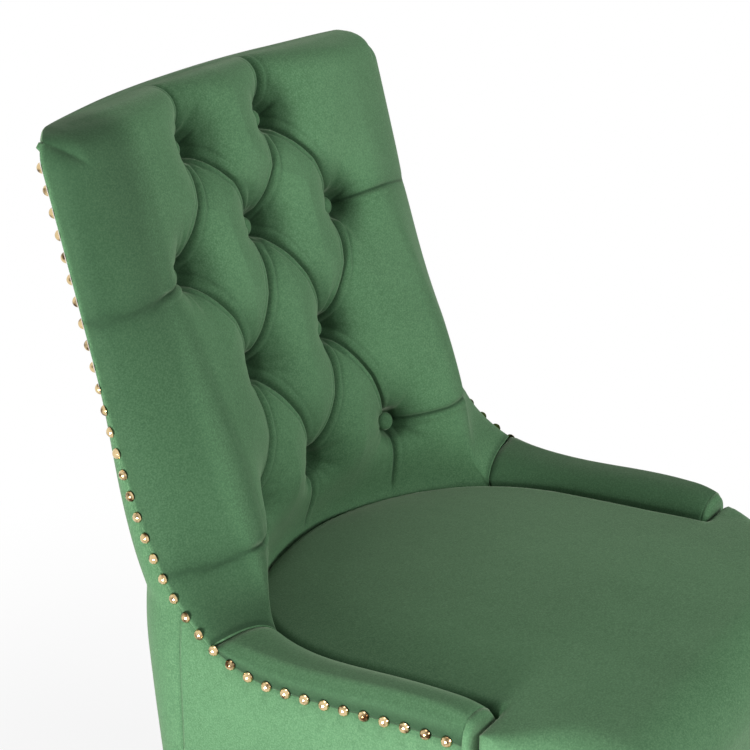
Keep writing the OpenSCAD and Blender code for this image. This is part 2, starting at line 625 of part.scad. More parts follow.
// Sinuous springs lie on the front and rear rails
spring_y = [front_rail_y + 7, rear_rail_y + rail_t - 7];
bends = 2 * floor((spring_y[1] - spring_y[0]) / spring_pitch / 2) + 1;
bend = (spring_y[1] - spring_y[0]) / bends;
spring_edge = 35;                              // from the posts to the outermost springs' middles
spring_x = [for (i = [0:springs - 1]) (i - (springs - 1) / 2) * 2 * (post_in - spring_edge) / (springs - 1)];
module spring() {
    for (i = [0:bends]) translate([-spring_w, spring_y[0] + i * bend - wire_t / 2, 0])
        cube([2 * spring_w, wire_t, wire_t]);
    for (i = [0:bends - 1]) let (x = i % 2 == 0 ? spring_w : -spring_w)
        translate([x - wire_t / 2, spring_y[0] + i * bend - wire_t / 2, 0])
            cube([wire_t, bend + wire_t, wire_t]);
}

module seat_springs() {
    color("gray") placed() for (x = spring_x) translate([x, 0, rail_top]) spring();
}

module spring_clips() {
    color("silver") placed() for (x = spring_x) for (y = spring_y)
        translate([x - 9, y - 6, rail_top + wire_t]) cube([18, 12, clip_t]);
}

module seat_deck() {
    color("dimgray") placed() translate([0, 0, deck_z]) linear_extrude(deck_t)
        polygon(seat_outline(nose_pad + cover_t + 4 * clear));
}

// Seat padding and cover
module seat_foam() {
    skin = seat_clear + cover_t;
    off = skin + 2 * curve_clear;
    edge = seat_outline(off);
    rim = seat_ring(1, skin, off);
    z = deck_top + clear;
    color("khaki") placed() ringed(seat_tip - [0, 0, off],
        concat([for (f = ring_shares) if (f < 1) seat_ring(f, skin, off)],
            [[for (i = [0:len(edge) - 1]) [edge[i].x, edge[i].y, rim[i].z]]],
            [for (f = [1, 0.5]) [for (p = edge) let (q = to_mid(p, f)) [q.x, q.y, z]]]),
        [seat_mid.x, seat_mid.y, z]);
}

// Padding round the front rail and the ends of the side rails
module front_padding() {
    off = seat_clear + cover_t + clear;
    color("khaki") placed() translate([0, 0, rail_z]) linear_extrude(deck_top - rail_z) difference() {
        polygon(seat_outline(off));
        translate([-side_rail_x - clear, front_rail_y - clear])
            square([2 * (side_rail_x + clear), 2 * seat_reach]);
        translate([-arm_span, -nose_gap - off]) square([2 * arm_span, 2 * seat_reach]);
    }
}

module seat_cover() {
    skin = seat_clear + cover_t;
    color("seagreen") placed() ringed(seat_tip - [0, 0, seat_clear],
        concat([for (f = ring_shares) seat_ring(f, seat_clear, seat_clear)],
            [seat_hem(seat_clear), seat_hem(skin)],
            [for (i = [len(ring_shares) - 1:-1:0]) seat_ring(ring_shares[i], skin, skin)]),
        seat_tip - [0, 0, skin]);
}

// Back padding and cover
module back_webbing() {
    color("ivory") placed() for (i = [0:straps - 1]) {
        z = lerp(row_z(0), row_z(tuft_rows - 1), i / (straps - 1)) - strap_w / 2;
        ends = [v_at_z(0, z), v_at_z(0, z + strap_w)];
        vs = concat(ends[0], [for (v = back_rows) if (v > ends[0] && v < ends[1]) v], ends[1]);
        grid = function (d) [for (v = vs) [for (u = back_cols) if (abs(u) < 0.72) off_base(u, v, d)]];
        slab(grid(-strap_off), grid(-strap_off - strap_t));
    }
}

module back_foam() {
    color("khaki") placed() slab(back_grid(foam_front, foam_share), back_grid(foam_rear, foam_share));
}

module back_cover() {
    wrap = function (off) [for (w = wrap_rows) [for (u = back_cols) wrap_pt(u, w, off)]];
    color("seagreen") placed()
        slab(concat(back_grid(cover_front), wrap(0)), concat(back_grid(cover_rear), wrap(cover_t)));
}

// Turns Z to the direction n
module along(n) {
    rotate([0, acos(n.z), atan2(n.y, n.x)]) children();
}

module tufting_buttons() {
    r = button_d / 2;
    rim = 1.5;
    color("seagreen") placed() for (b = buttons) {
        z = b.y;
        u = sign(b.x) * u_at_x(abs(b.x), z);
        v = v_at_z(u, z);
        n = base_normal(u, v);
        translate(base(u, v) + curve_clear * n) along(n) rotate_extrude() polygon(concat(
            [[0, 0]], [for (i = [0:5]) let (a = 18 * i) [r * cos(a), rim + (button_h - rim) * sin(a)]]));
    }
}

// Arm padding and cover. Their rows slant with the fold, and end short of it by off.
arm_rows = [for (i = [0:14]) i / 14];
function arm_row(t, q, off) = lerp(facing_t + clear, fold_y(q) - off, t);
module arm_foam(side) {
    out = cover_t + clear;
    q_end = 0.75;
    flat = arm_rail_top + clear;
    inner = 14;
    qs = [for (i = [0:11]) q_end * i / 11];
    over = function (t, q) arm_pt(arm_row(t, q, 2), q, out);
    under = function (t, q) let (p = over(t, q))
        [p.x + inner * (1 - pow(min(1, q / q_ridge), 2)), p.y, min(p.z - 4, flat)];
    front = [for (t = arm_rows) concat([over(t, 0) - [0, 0, tuck]], [for (q = qs) over(t, q)])];
    rear = [for (t = arm_rows) concat([over(t, 0) + [inner, 0, -tuck]], [for (q = qs) under(t, q)])];
    color("khaki") placed() on_side(side) slab(front, rear);
}

module left_arm_foam() arm_foam(1);
module right_arm_foam() arm_foam(-1);

module arm_cover(side) {
    qs = [for (i = [0:16]) i / 16];
    at = function (t, q, off) arm_pt(arm_row(t, q, 1.4), q, off);
    grid = function (off) [for (t = arm_rows)
        concat([at(t, 0, off) - [0, 0, tuck]], [for (q = qs) at(t, q, off)])];
    color("seagreen") placed() on_side(side) slab(grid(0), grid(cover_t));
}

module left_arm_cover() arm_cover(1);
module right_arm_cover() arm_cover(-1);

// Panel over the front of an arm, down to the seat's nose
module arm_facing(side) {
    outline = concat(
        [for (i = [0:24]) let (p = arm_pt(0, i / 24)) [p.x, p.z]],
        [[side_x(0), hem_z], [side_rail_x + clear, hem_z], [side_rail_x + clear, seat_line - tuck - 10],
         [seat_w / 2, seat_line - tuck - 4]]);
    color("seagreen") placed() on_side(side) translate([0, facing_t, 0]) rotate([90, 0, 0])
        linear_extrude(facing_t) polygon(outline);
}

module left_arm_facing() arm_facing(1);
module right_arm_facing() arm_facing(-1);

// Flat panel outside an arm, from the shell's underside up to the nail line
side_shares = [0, 0.4, 0.6, 0.75, 0.85, 0.93, 1];
module outside_arm(side) {
    ys = [for (i = [0:18]) lerp(facing_t + clear, seam_y - clear, i / 18)];
    grid = function (off) [for (y = ys) let (top = nail_z(y) - (y > arm_len ? curve_clear : clear))
        [for (k = side_shares) let (z = lerp(hem_z, top, k)) [outer_x(y, z) - off, y, z]]];
    color("seagreen") placed() on_side(side) slab(grid(panel_t), grid(0));
}

module left_outside_arm() outside_arm(1);
module right_outside_arm() outside_arm(-1);

module outside_back() {
    top = back_top - top_drop - clear;
    zs = concat([for (i = [0:7]) lerp(hem_z, seam_top.z, i / 8)],
        [for (v = back_rows) let (z = base(1, v).z) if (z >= seam_top.z && z < top - 8) z], [top]);
    grid = function (off) [for (z = zs) [for (i = [-12:12]) shell_pt(i / 12, z, off)]];
    color("seagreen") placed() slab(grid(panel_t), grid(0));
}

// Domed nail heads
module nail() {
    r = (nail_d * nail_d / 4 + nail_h * nail_h) / (2 * nail_h);
    a1 = asin(nail_d / 2 / r);
    rotate_extrude() polygon(concat(
        [[0, 0]], [for (i = [0:5]) let (a = a1 * (1 - i / 5)) [r * sin(a), r * cos(a) - r + nail_h]]));
}

// The nails stand on the arm's side; up the back they turn with the edge of the shell.
nail_turn = 50;
nail_shift = 3;
nail_lag = 1.8;
module nails(side) {
    color("gold") placed() on_side(side) for (i = [0:nail_count - 1]) {
        d = i * nail_pitch;
        p = on_path(d);
        t = unit(on_path(d + 1) - on_path(d - 1));
        share = pow(smooth((p.z - flat_from) / (flat_to - flat_from)), nail_lag);
        a = atan2(-t.x, max(t.y, 0.25)) + nail_turn * share;
        flat = [cos(a), sin(a), 0];
        n = unit(flat - (flat * t) * t);
        translate(p + nail_shift * share * [-sin(a), cos(a), 0] + curve_clear * n) along(n) nail();
    }
}

module left_nails() nails(1);
module right_nails() nails(-1);

module dust_cover() {
    w = side_rail_x - 2;
    y = [front_rail_y + 2, post_y, shell_y(post_in, shell_bottom, panel_t) - 4];
    color("black") placed() difference() {
        translate([0, 0, shell_bottom]) linear_extrude(dust_t)
            polygon([[rail_cut - w, y[0]], [w - rail_cut, y[0]], [w, y[0] + rail_cut], [w, y[1]],
                [post_in, y[2]], [-post_in, y[2]], [-w, y[1]], [-w, y[0] + rail_cut]]);
        for (i = [0, 1]) for (side = [1, -1])
            bolt_bore(side * leg_x[i], leg_y[i], shell_bottom, dust_t + 1);
    }
}

// Legs
module leg_end(w, x, y, z) {
    translate([x - w / 2, y - w / 2, z]) cube([w, w, 1]);
}

module leg(side, x, y, dx, dy) {
    color("saddlebrown") placed() on_side(side) difference() {
        hull() {
            leg_end(leg_top_w, x, y, shell_bottom - 1);
            leg_end(leg_foot_w, x + dx, y + dy, glide_h);
        }
        translate([0, 0, -bolt_in]) bolt_bore(x, y, shell_bottom, bolt_in + 1);
    }
}

module left_front_leg() leg(1, leg_x[0], leg_y[0], 0, -front_splay);
module right_front_leg() leg(-1, leg_x[0], leg_y[0], 0, -front_splay);
module left_rear_leg() leg(1, leg_x[1], leg_y[1], rear_flare, rear_splay);
module right_rear_leg() leg(-1, leg_x[1], leg_y[1], rear_flare, rear_splay);

module leg_bolts() {
    color("silver") placed() for (i = [0, 1]) for (side = [1, -1])
        translate([side * leg_x[i], leg_y[i], shell_bottom - bolt_in + 1 + clear])
            cylinder(d = bolt_d, h = bolt_in + bolt_up - 2 * clear);
}

module glides() {
    shift = [[0, -front_splay], [rear_flare, rear_splay]];
    color("dimgray") placed() for (i = [0, 1]) for (side = [1, -1])
        translate([side * (leg_x[i] + shift[i].x), leg_y[i] + shift[i].y, 0])
            cylinder(d = glide_d, h = glide_h);
}

front_rail();
rear_rail();
left_side_rail();
right_side_rail();
corner_blocks();
left_back_post();
right_back_post();
crest_rail();
lower_back_rail();
left_arm_stump();
right_arm_stump();
left_arm_rail();
right_arm_rail();
seat_springs();
spring_clips();
seat_deck();
seat_foam();
front_padding();
seat_cover();
back_webbing();
back_foam();
back_cover();
tufting_buttons();
left_arm_foam();
right_arm_foam();
left_arm_cover();
right_arm_cover();
left_arm_facing();
right_arm_facing();
left_outside_arm();
right_outside_arm();
outside_back();
left_nails();
right_nails();
dust_cover();
left_front_leg();
right_front_leg();
left_rear_leg();
right_rear_leg();
leg_bolts();
glides();
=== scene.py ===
"""Looks for a tufted, upholstered dining chair, built round its CAD frame.

Lengths are in metres. The surfaces are worked out with y = 0 at the front face of the arms, and
row() moves their points into the frame. Left is the chair's own left, +X.
"""

import json
import math

import bpy
import numpy as np
from mathutils import Matrix, Vector

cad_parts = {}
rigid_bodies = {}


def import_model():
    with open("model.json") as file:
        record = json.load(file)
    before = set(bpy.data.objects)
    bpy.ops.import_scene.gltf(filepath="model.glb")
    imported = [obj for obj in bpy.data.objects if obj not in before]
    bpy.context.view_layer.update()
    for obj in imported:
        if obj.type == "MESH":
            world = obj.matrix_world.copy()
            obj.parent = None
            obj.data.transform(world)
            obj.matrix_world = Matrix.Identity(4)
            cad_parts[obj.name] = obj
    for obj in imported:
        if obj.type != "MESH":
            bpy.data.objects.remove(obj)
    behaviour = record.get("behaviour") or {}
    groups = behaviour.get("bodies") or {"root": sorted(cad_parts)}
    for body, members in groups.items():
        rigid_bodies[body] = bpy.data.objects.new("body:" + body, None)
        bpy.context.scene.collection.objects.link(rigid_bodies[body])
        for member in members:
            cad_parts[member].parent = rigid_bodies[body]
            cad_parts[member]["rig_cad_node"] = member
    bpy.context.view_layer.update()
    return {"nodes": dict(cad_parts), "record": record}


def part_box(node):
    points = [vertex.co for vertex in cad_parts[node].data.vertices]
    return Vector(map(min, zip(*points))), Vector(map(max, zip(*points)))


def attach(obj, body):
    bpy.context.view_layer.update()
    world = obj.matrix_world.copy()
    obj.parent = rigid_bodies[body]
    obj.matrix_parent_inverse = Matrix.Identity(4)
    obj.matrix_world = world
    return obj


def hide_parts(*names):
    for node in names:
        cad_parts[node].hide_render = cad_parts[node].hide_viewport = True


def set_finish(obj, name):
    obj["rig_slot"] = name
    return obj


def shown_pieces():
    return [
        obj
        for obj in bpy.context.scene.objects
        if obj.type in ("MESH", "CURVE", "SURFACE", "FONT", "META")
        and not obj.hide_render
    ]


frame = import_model()

# -------------------- sizes taken from the frame
facing_low, facing_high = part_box("left_arm_facing")
outside_low, outside_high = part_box("left_outside_arm")
cover_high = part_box("left_arm_cover")[1]
arm_front = facing_low.y  # front face of the arms
facing_t = facing_high.y - facing_low.y
fold_gap = 0.0014  # between the arm's cover and its fold at the back
arm_len = cover_high.y - arm_front + fold_gap  # from the arm's front to its fold
arm_top = cover_high.z
arm_half = outside_high.x  # outside of an arm
seat_half = facing_low.x  # half the clear width between the arms
hem_z = outside_low.z
back_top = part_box("back_cover")[1].z
rail_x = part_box("left_side_rail")[1].x

# -------------------- sizes of the surfaces
clear = 0.0003  # between pieces that touch
cover_t, panel_t = 0.0018, 0.003  # the back's cover, the outside panels
seat_line = arm_top - 0.038  # where the arms and the back meet the seat
tuck = 0.028  # how far covers run down beside the seat

# the arms: q runs from the seat line (0) over the ridge to the nails (1)
ridge_in, nail_drop, arm_taper = 0.017, 0.027, 0.006
arm_round, q_ridge = 2.3, 0.6
arm_dip, dip_start, dip_span, nail_follow = 0.010, 0.15, 0.57, 0.6
swoop_y, swoop_rise = arm_len * 0.74, 0.018
fold_slant = 0.022

# the inner wall, which rounds from the arms to the rear of the seat
seat_reach = arm_len + 0.086
corner_reach, wall_round = 0.200, 2.2
corner_y = seat_reach - corner_reach

# the inside back: u runs from the middle (0) to the nails (1), v from the seat line to the top
u_wall, u_ridge = 0.62, 0.85
back_rise = back_top - seat_line
top_reach, top_curve = seat_reach + 0.132, 0.039
top_half, edge_round, corner_round = arm_half - 0.017, 0.010, 0.030
lean_mid, lean_edge, lean_seat, lean_sweep = (math.radians(a) for a in (24, 15.7, 3, 64))
pull_mid, pull_low, pull_top = 0.34, 0.234, 0.637  # handles of its curve, as shares of the rise

# the outside of the back
low_depth, top_depth, rear_tuck, top_drop = 0.055, 0.034, 0.026, 0.012
shell_round, flat_across, flat_deep = 2.65, 2.6, 1.15
flat_from, flat_over = 0.034, 0.210  # heights above the arms where it flattens
seam_in, seam_flare, nail_blend = 0.036, 0.060, 0.060
seam_y = arm_len + seam_in


def row(points):
    """Points measured from the arms' front face, moved to the chair's own place."""
    return np.asarray(points, float) + np.array([0, arm_front, 0])


def xyz(x, y, z):
    return np.stack(np.broadcast_arrays(x, y, z), -1).astype(float)


def lerp(a, b, t):
    return a + (b - a) * t


def ease(t):
    """0 below 0 and 1 above 1, with a smooth rise between."""
    s = np.clip(t, 0, 1)
    return s * s * (3 - 2 * s)


def bell(t, wide):
    """1 at t = 0, dying away over a few widths."""
    return np.exp(-(t / wide) ** 2)


def arc(t, power):
    """Height of a superellipse's quarter at t, from 1 at its middle to 0 at its end."""
    return np.maximum(0, 1 - np.clip(t, 0, 1) ** power) ** (1 / power)


# -------------------- the chair's surfaces
def wall_x(y, off=0.0):
    """Half the width of the inner wall at y."""
    return (seat_half - off) * arc(np.maximum(0, y - corner_y) / (corner_reach - off), wall_round)


def fold_y(q):
    """Where the arm's section meets the back, from the seat line to the nail line."""
    return arm_len - fold_slant * (1 - q)


fold_angle = math.acos(((fold_y(0) - corner_y) / corner_reach) ** (wall_round / 2))


def wall_point(f):
    """x and y of the inner wall behind the seat, from its middle (0) to the arm's fold (1)."""
    a = f * fold_angle
    return (seat_half * np.sin(a) ** (2 / wall_round),
            corner_y + corner_reach * np.cos(a) ** (2 / wall_round))


def side_x(y):
    """Outside of an arm, which tapers towards its front."""
    return arm_half - arm_taper * (1 - np.clip(y / swoop_y, 0, 1)) ** 1.5


def dip(y):
    """How far the arm's top sags between its ends."""
    along = (y / arm_len - dip_start) / dip_span
    return arm_dip * np.sin(np.clip(along * math.pi / 2, 0, math.pi)) ** 2


def arm_nail_z(y):
    """Height of the nail line along an arm, which sweeps up at the back."""
    swoop = np.maximum(0, (y - swoop_y) / (arm_len - swoop_y)) ** 2
    return arm_top - nail_drop - nail_follow * dip(y) + swoop_rise * swoop


def arm_point(y, q, off=0.0):
    """Point of the arm's section, from the seat line (q = 0) over the ridge to the nails (q = 1)."""
    y, q = np.broadcast_arrays(np.asarray(y, float), np.asarray(q, float))
    ridge_x, nail_z, ridge_z = side_x(y) - ridge_in, arm_nail_z(y), arm_top - dip(y) - off
    a = np.clip(q / q_ridge, 0, 1) * math.pi / 2
    b = np.clip((q - q_ridge) / (1 - q_ridge), 0, 1) * math.pi / 2
    power = 2 / arm_round
    inner = xyz(lerp(ridge_x, wall_x(y) + off, np.cos(a) ** power), y,
                lerp(seat_line, ridge_z, np.sin(a) ** power))
    outer = xyz(ridge_x + (ridge_in - off) * np.sin(b) ** power, y,
                lerp(nail_z, ridge_z, np.cos(b) ** power))
    return np.where((q <= q_ridge)[..., None], inner, outer)


def lean_at(w):
    """How far the cover leans back where it leaves the seat line."""
    return lean_seat + (lean_sweep - lean_seat) * np.minimum(w / u_ridge, 1) ** 1.8


def back_base(u, v):
    """The surface the buttons lie on: u from the middle to the nails, v from seat to top."""
    u, v = np.broadcast_arrays(np.asarray(u, float), np.asarray(v, float))
    side, w = np.sign(u), np.abs(u)
    # its lowest line follows the inner wall, then the end of the arm
    wx, wy = wall_point(np.minimum(w / u_wall, 1))
    q = np.where(w <= u_ridge, q_ridge * (w - u_wall) / (u_ridge - u_wall),
                 lerp(q_ridge, 1, (w - u_ridge) / (1 - u_ridge)))
    low = np.where((w <= u_wall)[..., None], xyz(wx, wy, seat_line),
                   arm_point(fold_y(np.clip(q, 0, 1)), np.clip(q, 0, 1)))
    # its top line is a shallow curve with rounded ends
    edge, t = top_half - edge_round, np.minimum(w / u_ridge, 1)
    a = np.clip((w - u_ridge) / (1 - u_ridge), 0, 1) * math.pi / 2
    top = xyz(edge * t + edge_round * np.sin(a),
              top_reach - top_curve * t ** 2 + edge_round * (1 - np.cos(a)), back_top)
    # and a cubic curve with two handles joins them
    lean, high_lean = lean_at(w), lerp(lean_mid, lean_edge, t)
    reach_low = back_rise * lerp(pull_mid, pull_low, w * w)
    reach_top = back_rise * lerp(pull_mid, pull_top, w * w)
    x = lerp(low[..., 0], top[..., 0], ease(w))
    p1 = xyz(x, low[..., 1] + reach_low * np.sin(lean), low[..., 2] + reach_low * np.cos(lean))
    p2 = top - reach_top[..., None] * xyz(0, np.sin(high_lean), np.cos(high_lean))
    v = v[..., None]
    p = (1 - v) ** 3 * low + 3 * v * (1 - v) ** 2 * p1 + 3 * v * v * (1 - v) * p2 + v ** 3 * top
    p[..., 0] *= np.where(side < 0, -1, 1)
    return p


def back_normal(u, v, step=0.01):
    """Which way the back's surface faces, at (u, v)."""
    across = back_base(np.minimum(u + step, 1), v) - back_base(np.maximum(u - step, -1), v)
    up = back_base(u, np.minimum(v + step, 1)) - back_base(u, np.maximum(v - step, 0))
    n = np.cross(across, up)
    return n / np.linalg.norm(n, axis=-1, keepdims=True)


def solve(reached, low, high, rounds=24):
    """Halves between low and high until reached(middle) turns true."""
    for _ in range(rounds):
        middle = (low + high) / 2
        past = reached(middle)
        low, high = np.where(past, low, middle), np.where(past, middle, high)
    return (low + high) / 2


def v_at_z(u, z):
    """The v of the back's point at u and height z."""
    return solve(lambda v: back_base(u, v)[..., 2] >= z, np.zeros_like(z + u), np.ones_like(z + u))


def u_at_x(x, z):
    """The u of the back's point at height z, x from its middle."""
    return solve(lambda u: back_base(u, v_at_z(u, z))[..., 0] >= x, np.array(0.0), np.array(0.8))


def nail_point(y):
    """Point of the nail line behind the arm's fold, at depth y."""
    v = solve(lambda t: back_base(np.ones_like(t), t)[..., 1] >= y, np.zeros_like(y), np.ones_like(y))
    return back_base(np.ones_like(v), v)


seam_top = nail_point(np.array([seam_y]))[0]


def rim(z):
    """x and y of the shell's front edge at height z: the seam, then the nail line."""
    z = np.asarray(z, float)
    p = back_base(np.ones_like(z), v_at_z(np.ones_like(z), np.maximum(z, seam_top[2])))
    below = np.clip(1 - (seam_top[2] - z) / seam_flare, 0, 1) ** 2
    low = z <= seam_top[2]
    return np.where(low, lerp(arm_half, seam_top[0], below), p[..., 0]), np.where(low, seam_y, p[..., 1])


def rear_at(z):
    """How far back the shell's middle lies at height z."""
    low = seat_reach + low_depth
    share = np.clip((arm_top - z) / (arm_top - hem_z), 0, None)
    rise = np.clip((z - arm_top) / (back_top - arm_top), 0, None)
    return np.where(z < arm_top, low - rear_tuck * share ** 1.4,
                    lerp(low, top_reach + top_depth, rise ** 1.3))


def shell_powers(z):
    """How square the shell's section is, across and in depth."""
    t = ease((z - arm_top - flat_from) / flat_over)
    return lerp(shell_round, flat_across, t), lerp(shell_round, flat_deep, t)


def shell_point(s, z, off=0.0):
    """Outside of the back: s from its middle (0) to its edges (-1 and 1)."""
    s, z = np.broadcast_arrays(np.asarray(s, float), np.asarray(z, float))
    rx, ry = rim(z)
    across, deep = shell_powers(z)
    a = np.abs(s) * math.pi / 2
    return xyz(np.sign(s) * (rx - off) * np.sin(a) ** (2 / across),
               ry + clear + (rear_at(z) - ry - off) * np.cos(a).clip(0) ** (2 / deep), z)


def shell_y(x, z):
    """How far back the shell lies at x and height z."""
    rx, ry = rim(z)
    across, deep = shell_powers(z)
    share = np.maximum(0, 1 - np.clip(np.abs(x) / rx, 0, 1) ** across)
    return ry + (rear_at(z) - ry) * share ** (1 / deep)


# -------------------- making pieces
def piece_from(name, points, faces):
    """A new smooth piece from points in place."""
    mesh = bpy.data.meshes.new(name)
    mesh.from_pydata([tuple(p) for p in points], [], faces)
    mesh.update()
    mesh.shade_smooth()
    piece = bpy.data.objects.new(name, mesh)
    bpy.context.scene.collection.objects.link(piece)
    return piece


def grid_faces(rows, cols, start=0, flip=False):
    i, j = np.meshgrid(np.arange(rows - 1), np.arange(cols - 1), indexing="ij")
    a = (start + i * cols + j).ravel()
    quads = np.stack([a, a + 1, a + cols + 1, a + cols], -1)
    return (quads[:, ::-1] if flip else quads).tolist()


def quilt(name, front, rear, step):
    """A closed pad: a fine front grid and a rear grid with every step-th row and column of it."""
    rows, cols = front.shape[:2]
    back_rows, back_cols = rear.shape[:2]
    start = rows * cols
    points = np.concatenate([front.reshape(-1, 3), rear.reshape(-1, 3)])
    faces = grid_faces(rows, cols) + grid_faces(back_rows, back_cols, start, flip=True)
    fine = np.arange(start).reshape(rows, cols)
    coarse = start + np.arange(back_rows * back_cols).reshape(back_rows, back_cols)
    for strip, ends, flip in ((fine[0], coarse[0], False), (fine[-1], coarse[-1], True),
                              (fine[:, 0], coarse[:, 0], True), (fine[:, -1], coarse[:, -1], False)):
        strip, ends = strip.tolist(), ends.tolist()
        for k in range(len(ends) - 1):
            face = strip[k * step:(k + 1) * step + 1] + [ends[k + 1], ends[k]]
            faces.append(face if flip else face[::-1])
    return piece_from(name, points, faces)


def set_fold(piece, values):
    """Stores the painted shade of each point of the velvet: deep in its folds and crevices, and on the arm
    and wing whose nap lies flat.

    Values that are missing at the end belong to the pad's rear layer, which isn't seen.
    """
    shade = np.zeros(len(piece.data.vertices))
    shade[:np.size(values)] = np.clip(np.ravel(values), 0, 1)
    piece.data.attributes.new("fold", "FLOAT", "POINT").data.foreach_set("value", shade)


def deepen(piece, amount):
    """Adds painted shade to a whole piece, to look like velvet whose nap is brushed the other way."""
    store = piece.data.attributes["fold"].data
    values = np.zeros(len(store))
    store.foreach_get("value", values)
    store.foreach_set("value", np.clip(values + amount, 0, 1))


def select_only(piece):
    bpy.ops.object.select_all(action="DESELECT")
    piece.select_set(True)
    bpy.context.view_layer.objects.active = piece


def edit(piece):
    """Opens a piece in edit mode with nothing on it selected."""
    select_only(piece)
    bpy.ops.object.mode_set(mode="EDIT")
    bpy.ops.mesh.select_all(action="DESELECT")


def done():
    bpy.ops.object.mode_set(mode="OBJECT")


def pick_faces(piece, test):
    """Selects the faces whose normal passes the test, in edit mode."""
    bpy.ops.mesh.select_all(action="DESELECT")
    bpy.ops.object.mode_set(mode="OBJECT")
    for face in piece.data.polygons:
        face.select = test(face.normal)
    bpy.ops.object.mode_set(mode="EDIT")


def apply_modifier(piece, kind, **settings):
    select_only(piece)
    modifier = piece.modifiers.new(kind.title(), kind)
    for name, value in settings.items():
        setattr(modifier, name, value)
    bpy.ops.object.modifier_apply(modifier=modifier.name)


def mirrored(piece, name):
    """A copy of a piece on the other side, with its own mesh."""
    select_only(piece)
    bpy.ops.object.duplicate()
    copy = bpy.context.object
    copy.name = copy.data.name = name
    copy.scale = (-1, 1, 1)
    bpy.ops.object.transform_apply(location=False, rotation=False, scale=True)
    edit(copy)
    bpy.ops.mesh.select_all(action="SELECT")
    bpy.ops.mesh.flip_normals()
    done()
    return copy


def placed_copy(piece, place, normal):
    """A copy of the piece with its own mesh, its Z along the normal."""
    select_only(piece)
    bpy.ops.object.duplicate()
    copy = bpy.context.object
    aim = Vector(normal).to_track_quat("Z", "Y").to_matrix().to_4x4()
    copy.matrix_world = Matrix.Translation(Vector(place)) @ aim
    bpy.ops.object.transform_apply(location=True, rotation=True, scale=True)
    return copy


def join(pieces, name):
    bpy.ops.object.select_all(action="DESELECT")
    for piece in pieces:
        piece.select_set(True)
    bpy.context.view_layer.objects.active = pieces[0]
    bpy.ops.object.join()
    whole = bpy.context.object
    whole.name = whole.data.name = name
    return whole


# -------------------- tufting
col_pitch, row_pitch, row_ease, row_low, mid_lift = 0.065, 0.118, 0.008, 0.043, 0.012
crest = 0.048  # height of the fullest tuft
button_r, button_gap, hollow_r = 0.010, 0.0009, 0.020
button_flat, tuft_slope, valley_wide = 0.006, 0.021, 0.013
pleat_bow, edge_bow, edge_pleat_x = 0.003, -0.005, 0.275
pleat_deep, pleat_wide, pleat_near = 0.0034, 0.0017, 0.015
between_valley, edge_valley, top_valley, seat_valley = 0.24, 0.10, 0.34, 0.16
lips = ((0.0048, 0.0024, 0.0013), (-0.0050, 0.0026, 0.0005))  # place beside a pleat, width, height
side_folds = ((0.0090, 0.0013), (-0.0105, 0.0008))  # place beside a pleat, depth
# fold_dark: painted shade per metre of a side fold's depth
fold_wide, fold_near, fold_dark = 0.0015, 0.02, 380
gather_deep, gather_at, gather_wide = 0.0062, 0.024, 0.013
gather_waves = ((7, 1.9), (11, 4.1), (16, 2.7))  # creases round a button, turn from the last one's
seat_fade, side_fade, wing_fade, top_roll = 0.095, 0.97, 0.130, 0.034  # where the padding thins
foam_in, wrap_in, wing_top_r, soften_rounds = 0.0081, 0.0058, 0.013, 160
# painted shade: on one wing and along its edge, in the hollows round the buttons, and where the back meets
# the arms' fold
wing_shade, wing_edge_shade, hollow_dark, arm_fold_dark = 0.72, 0.16, 0.85, 0.7


def row_z(r):
    return arm_top + row_low + row_pitch * r - row_ease * r * (r - 1) / 2


buttons = [(c * col_pitch, row_z(r) + (mid_lift if r == 2 and c == 0 else 0))
           for r in range(4) for c in ((-2, 0, 2) if r % 2 == 0 else (-1, 1))]


def tuft_pleats():
    """Pleats from button to button, to the edges, the top and the seat: (start, end, bow, valley)."""
    lines = []
    for ax, az in buttons:
        for bx, bz in buttons:
            if mid_lift < bz - az < 1.5 * row_pitch and 0.5 * col_pitch < abs(bx - ax) < 1.5 * col_pitch:
                lines.append(((ax, az), (bx, bz), pleat_bow, between_valley))
    for x, z in buttons:
        if abs(x) > 1.5 * col_pitch:
            lines.append(((x, z), (math.copysign(edge_pleat_x, x), z - 0.003), edge_bow, edge_valley))
        if z > row_z(3) - 0.001:
            lines.append(((x, z), (x * 1.12, back_top + 0.03), 0.0, top_valley))
        if z < row_z(0) + 0.001:
            lines.append(((x, z), (x * 0.94, seat_line - 0.02), 0.0, seat_valley))
    return lines


def along_line(px, pz, start, end, bow):
    """Distance, side and share along a slightly bowed line from start to end."""
    sx, sz = start
    dx, dz = end[0] - sx, end[1] - sz
    length = math.hypot(dx, dz)
    share = np.clip(((px - sx) * dx + (pz - sz) * dz) / length ** 2, 0, 1)
    ox, oz = px - sx - share * dx, pz - sz - share * dz
    side = (ox * dz - oz * dx) / length - bow * np.sin(share * math.pi)
    past = np.where((share <= 0) | (share >= 1), np.hypot(ox, oz), 0)
    return np.maximum(np.abs(side), past), side, share


def nearest_button(x, z):
    """Distance to the nearest button, the angle round it, and which one it is."""
    spans = np.stack([np.hypot(x - bx, z - bz) for bx, bz in buttons])
    pick = spans.argmin(0)
    bx, bz = np.array(buttons)[pick].transpose(-1, *range(pick.ndim))
    return spans.min(0), np.arctan2(z - bz, x - bx), pick


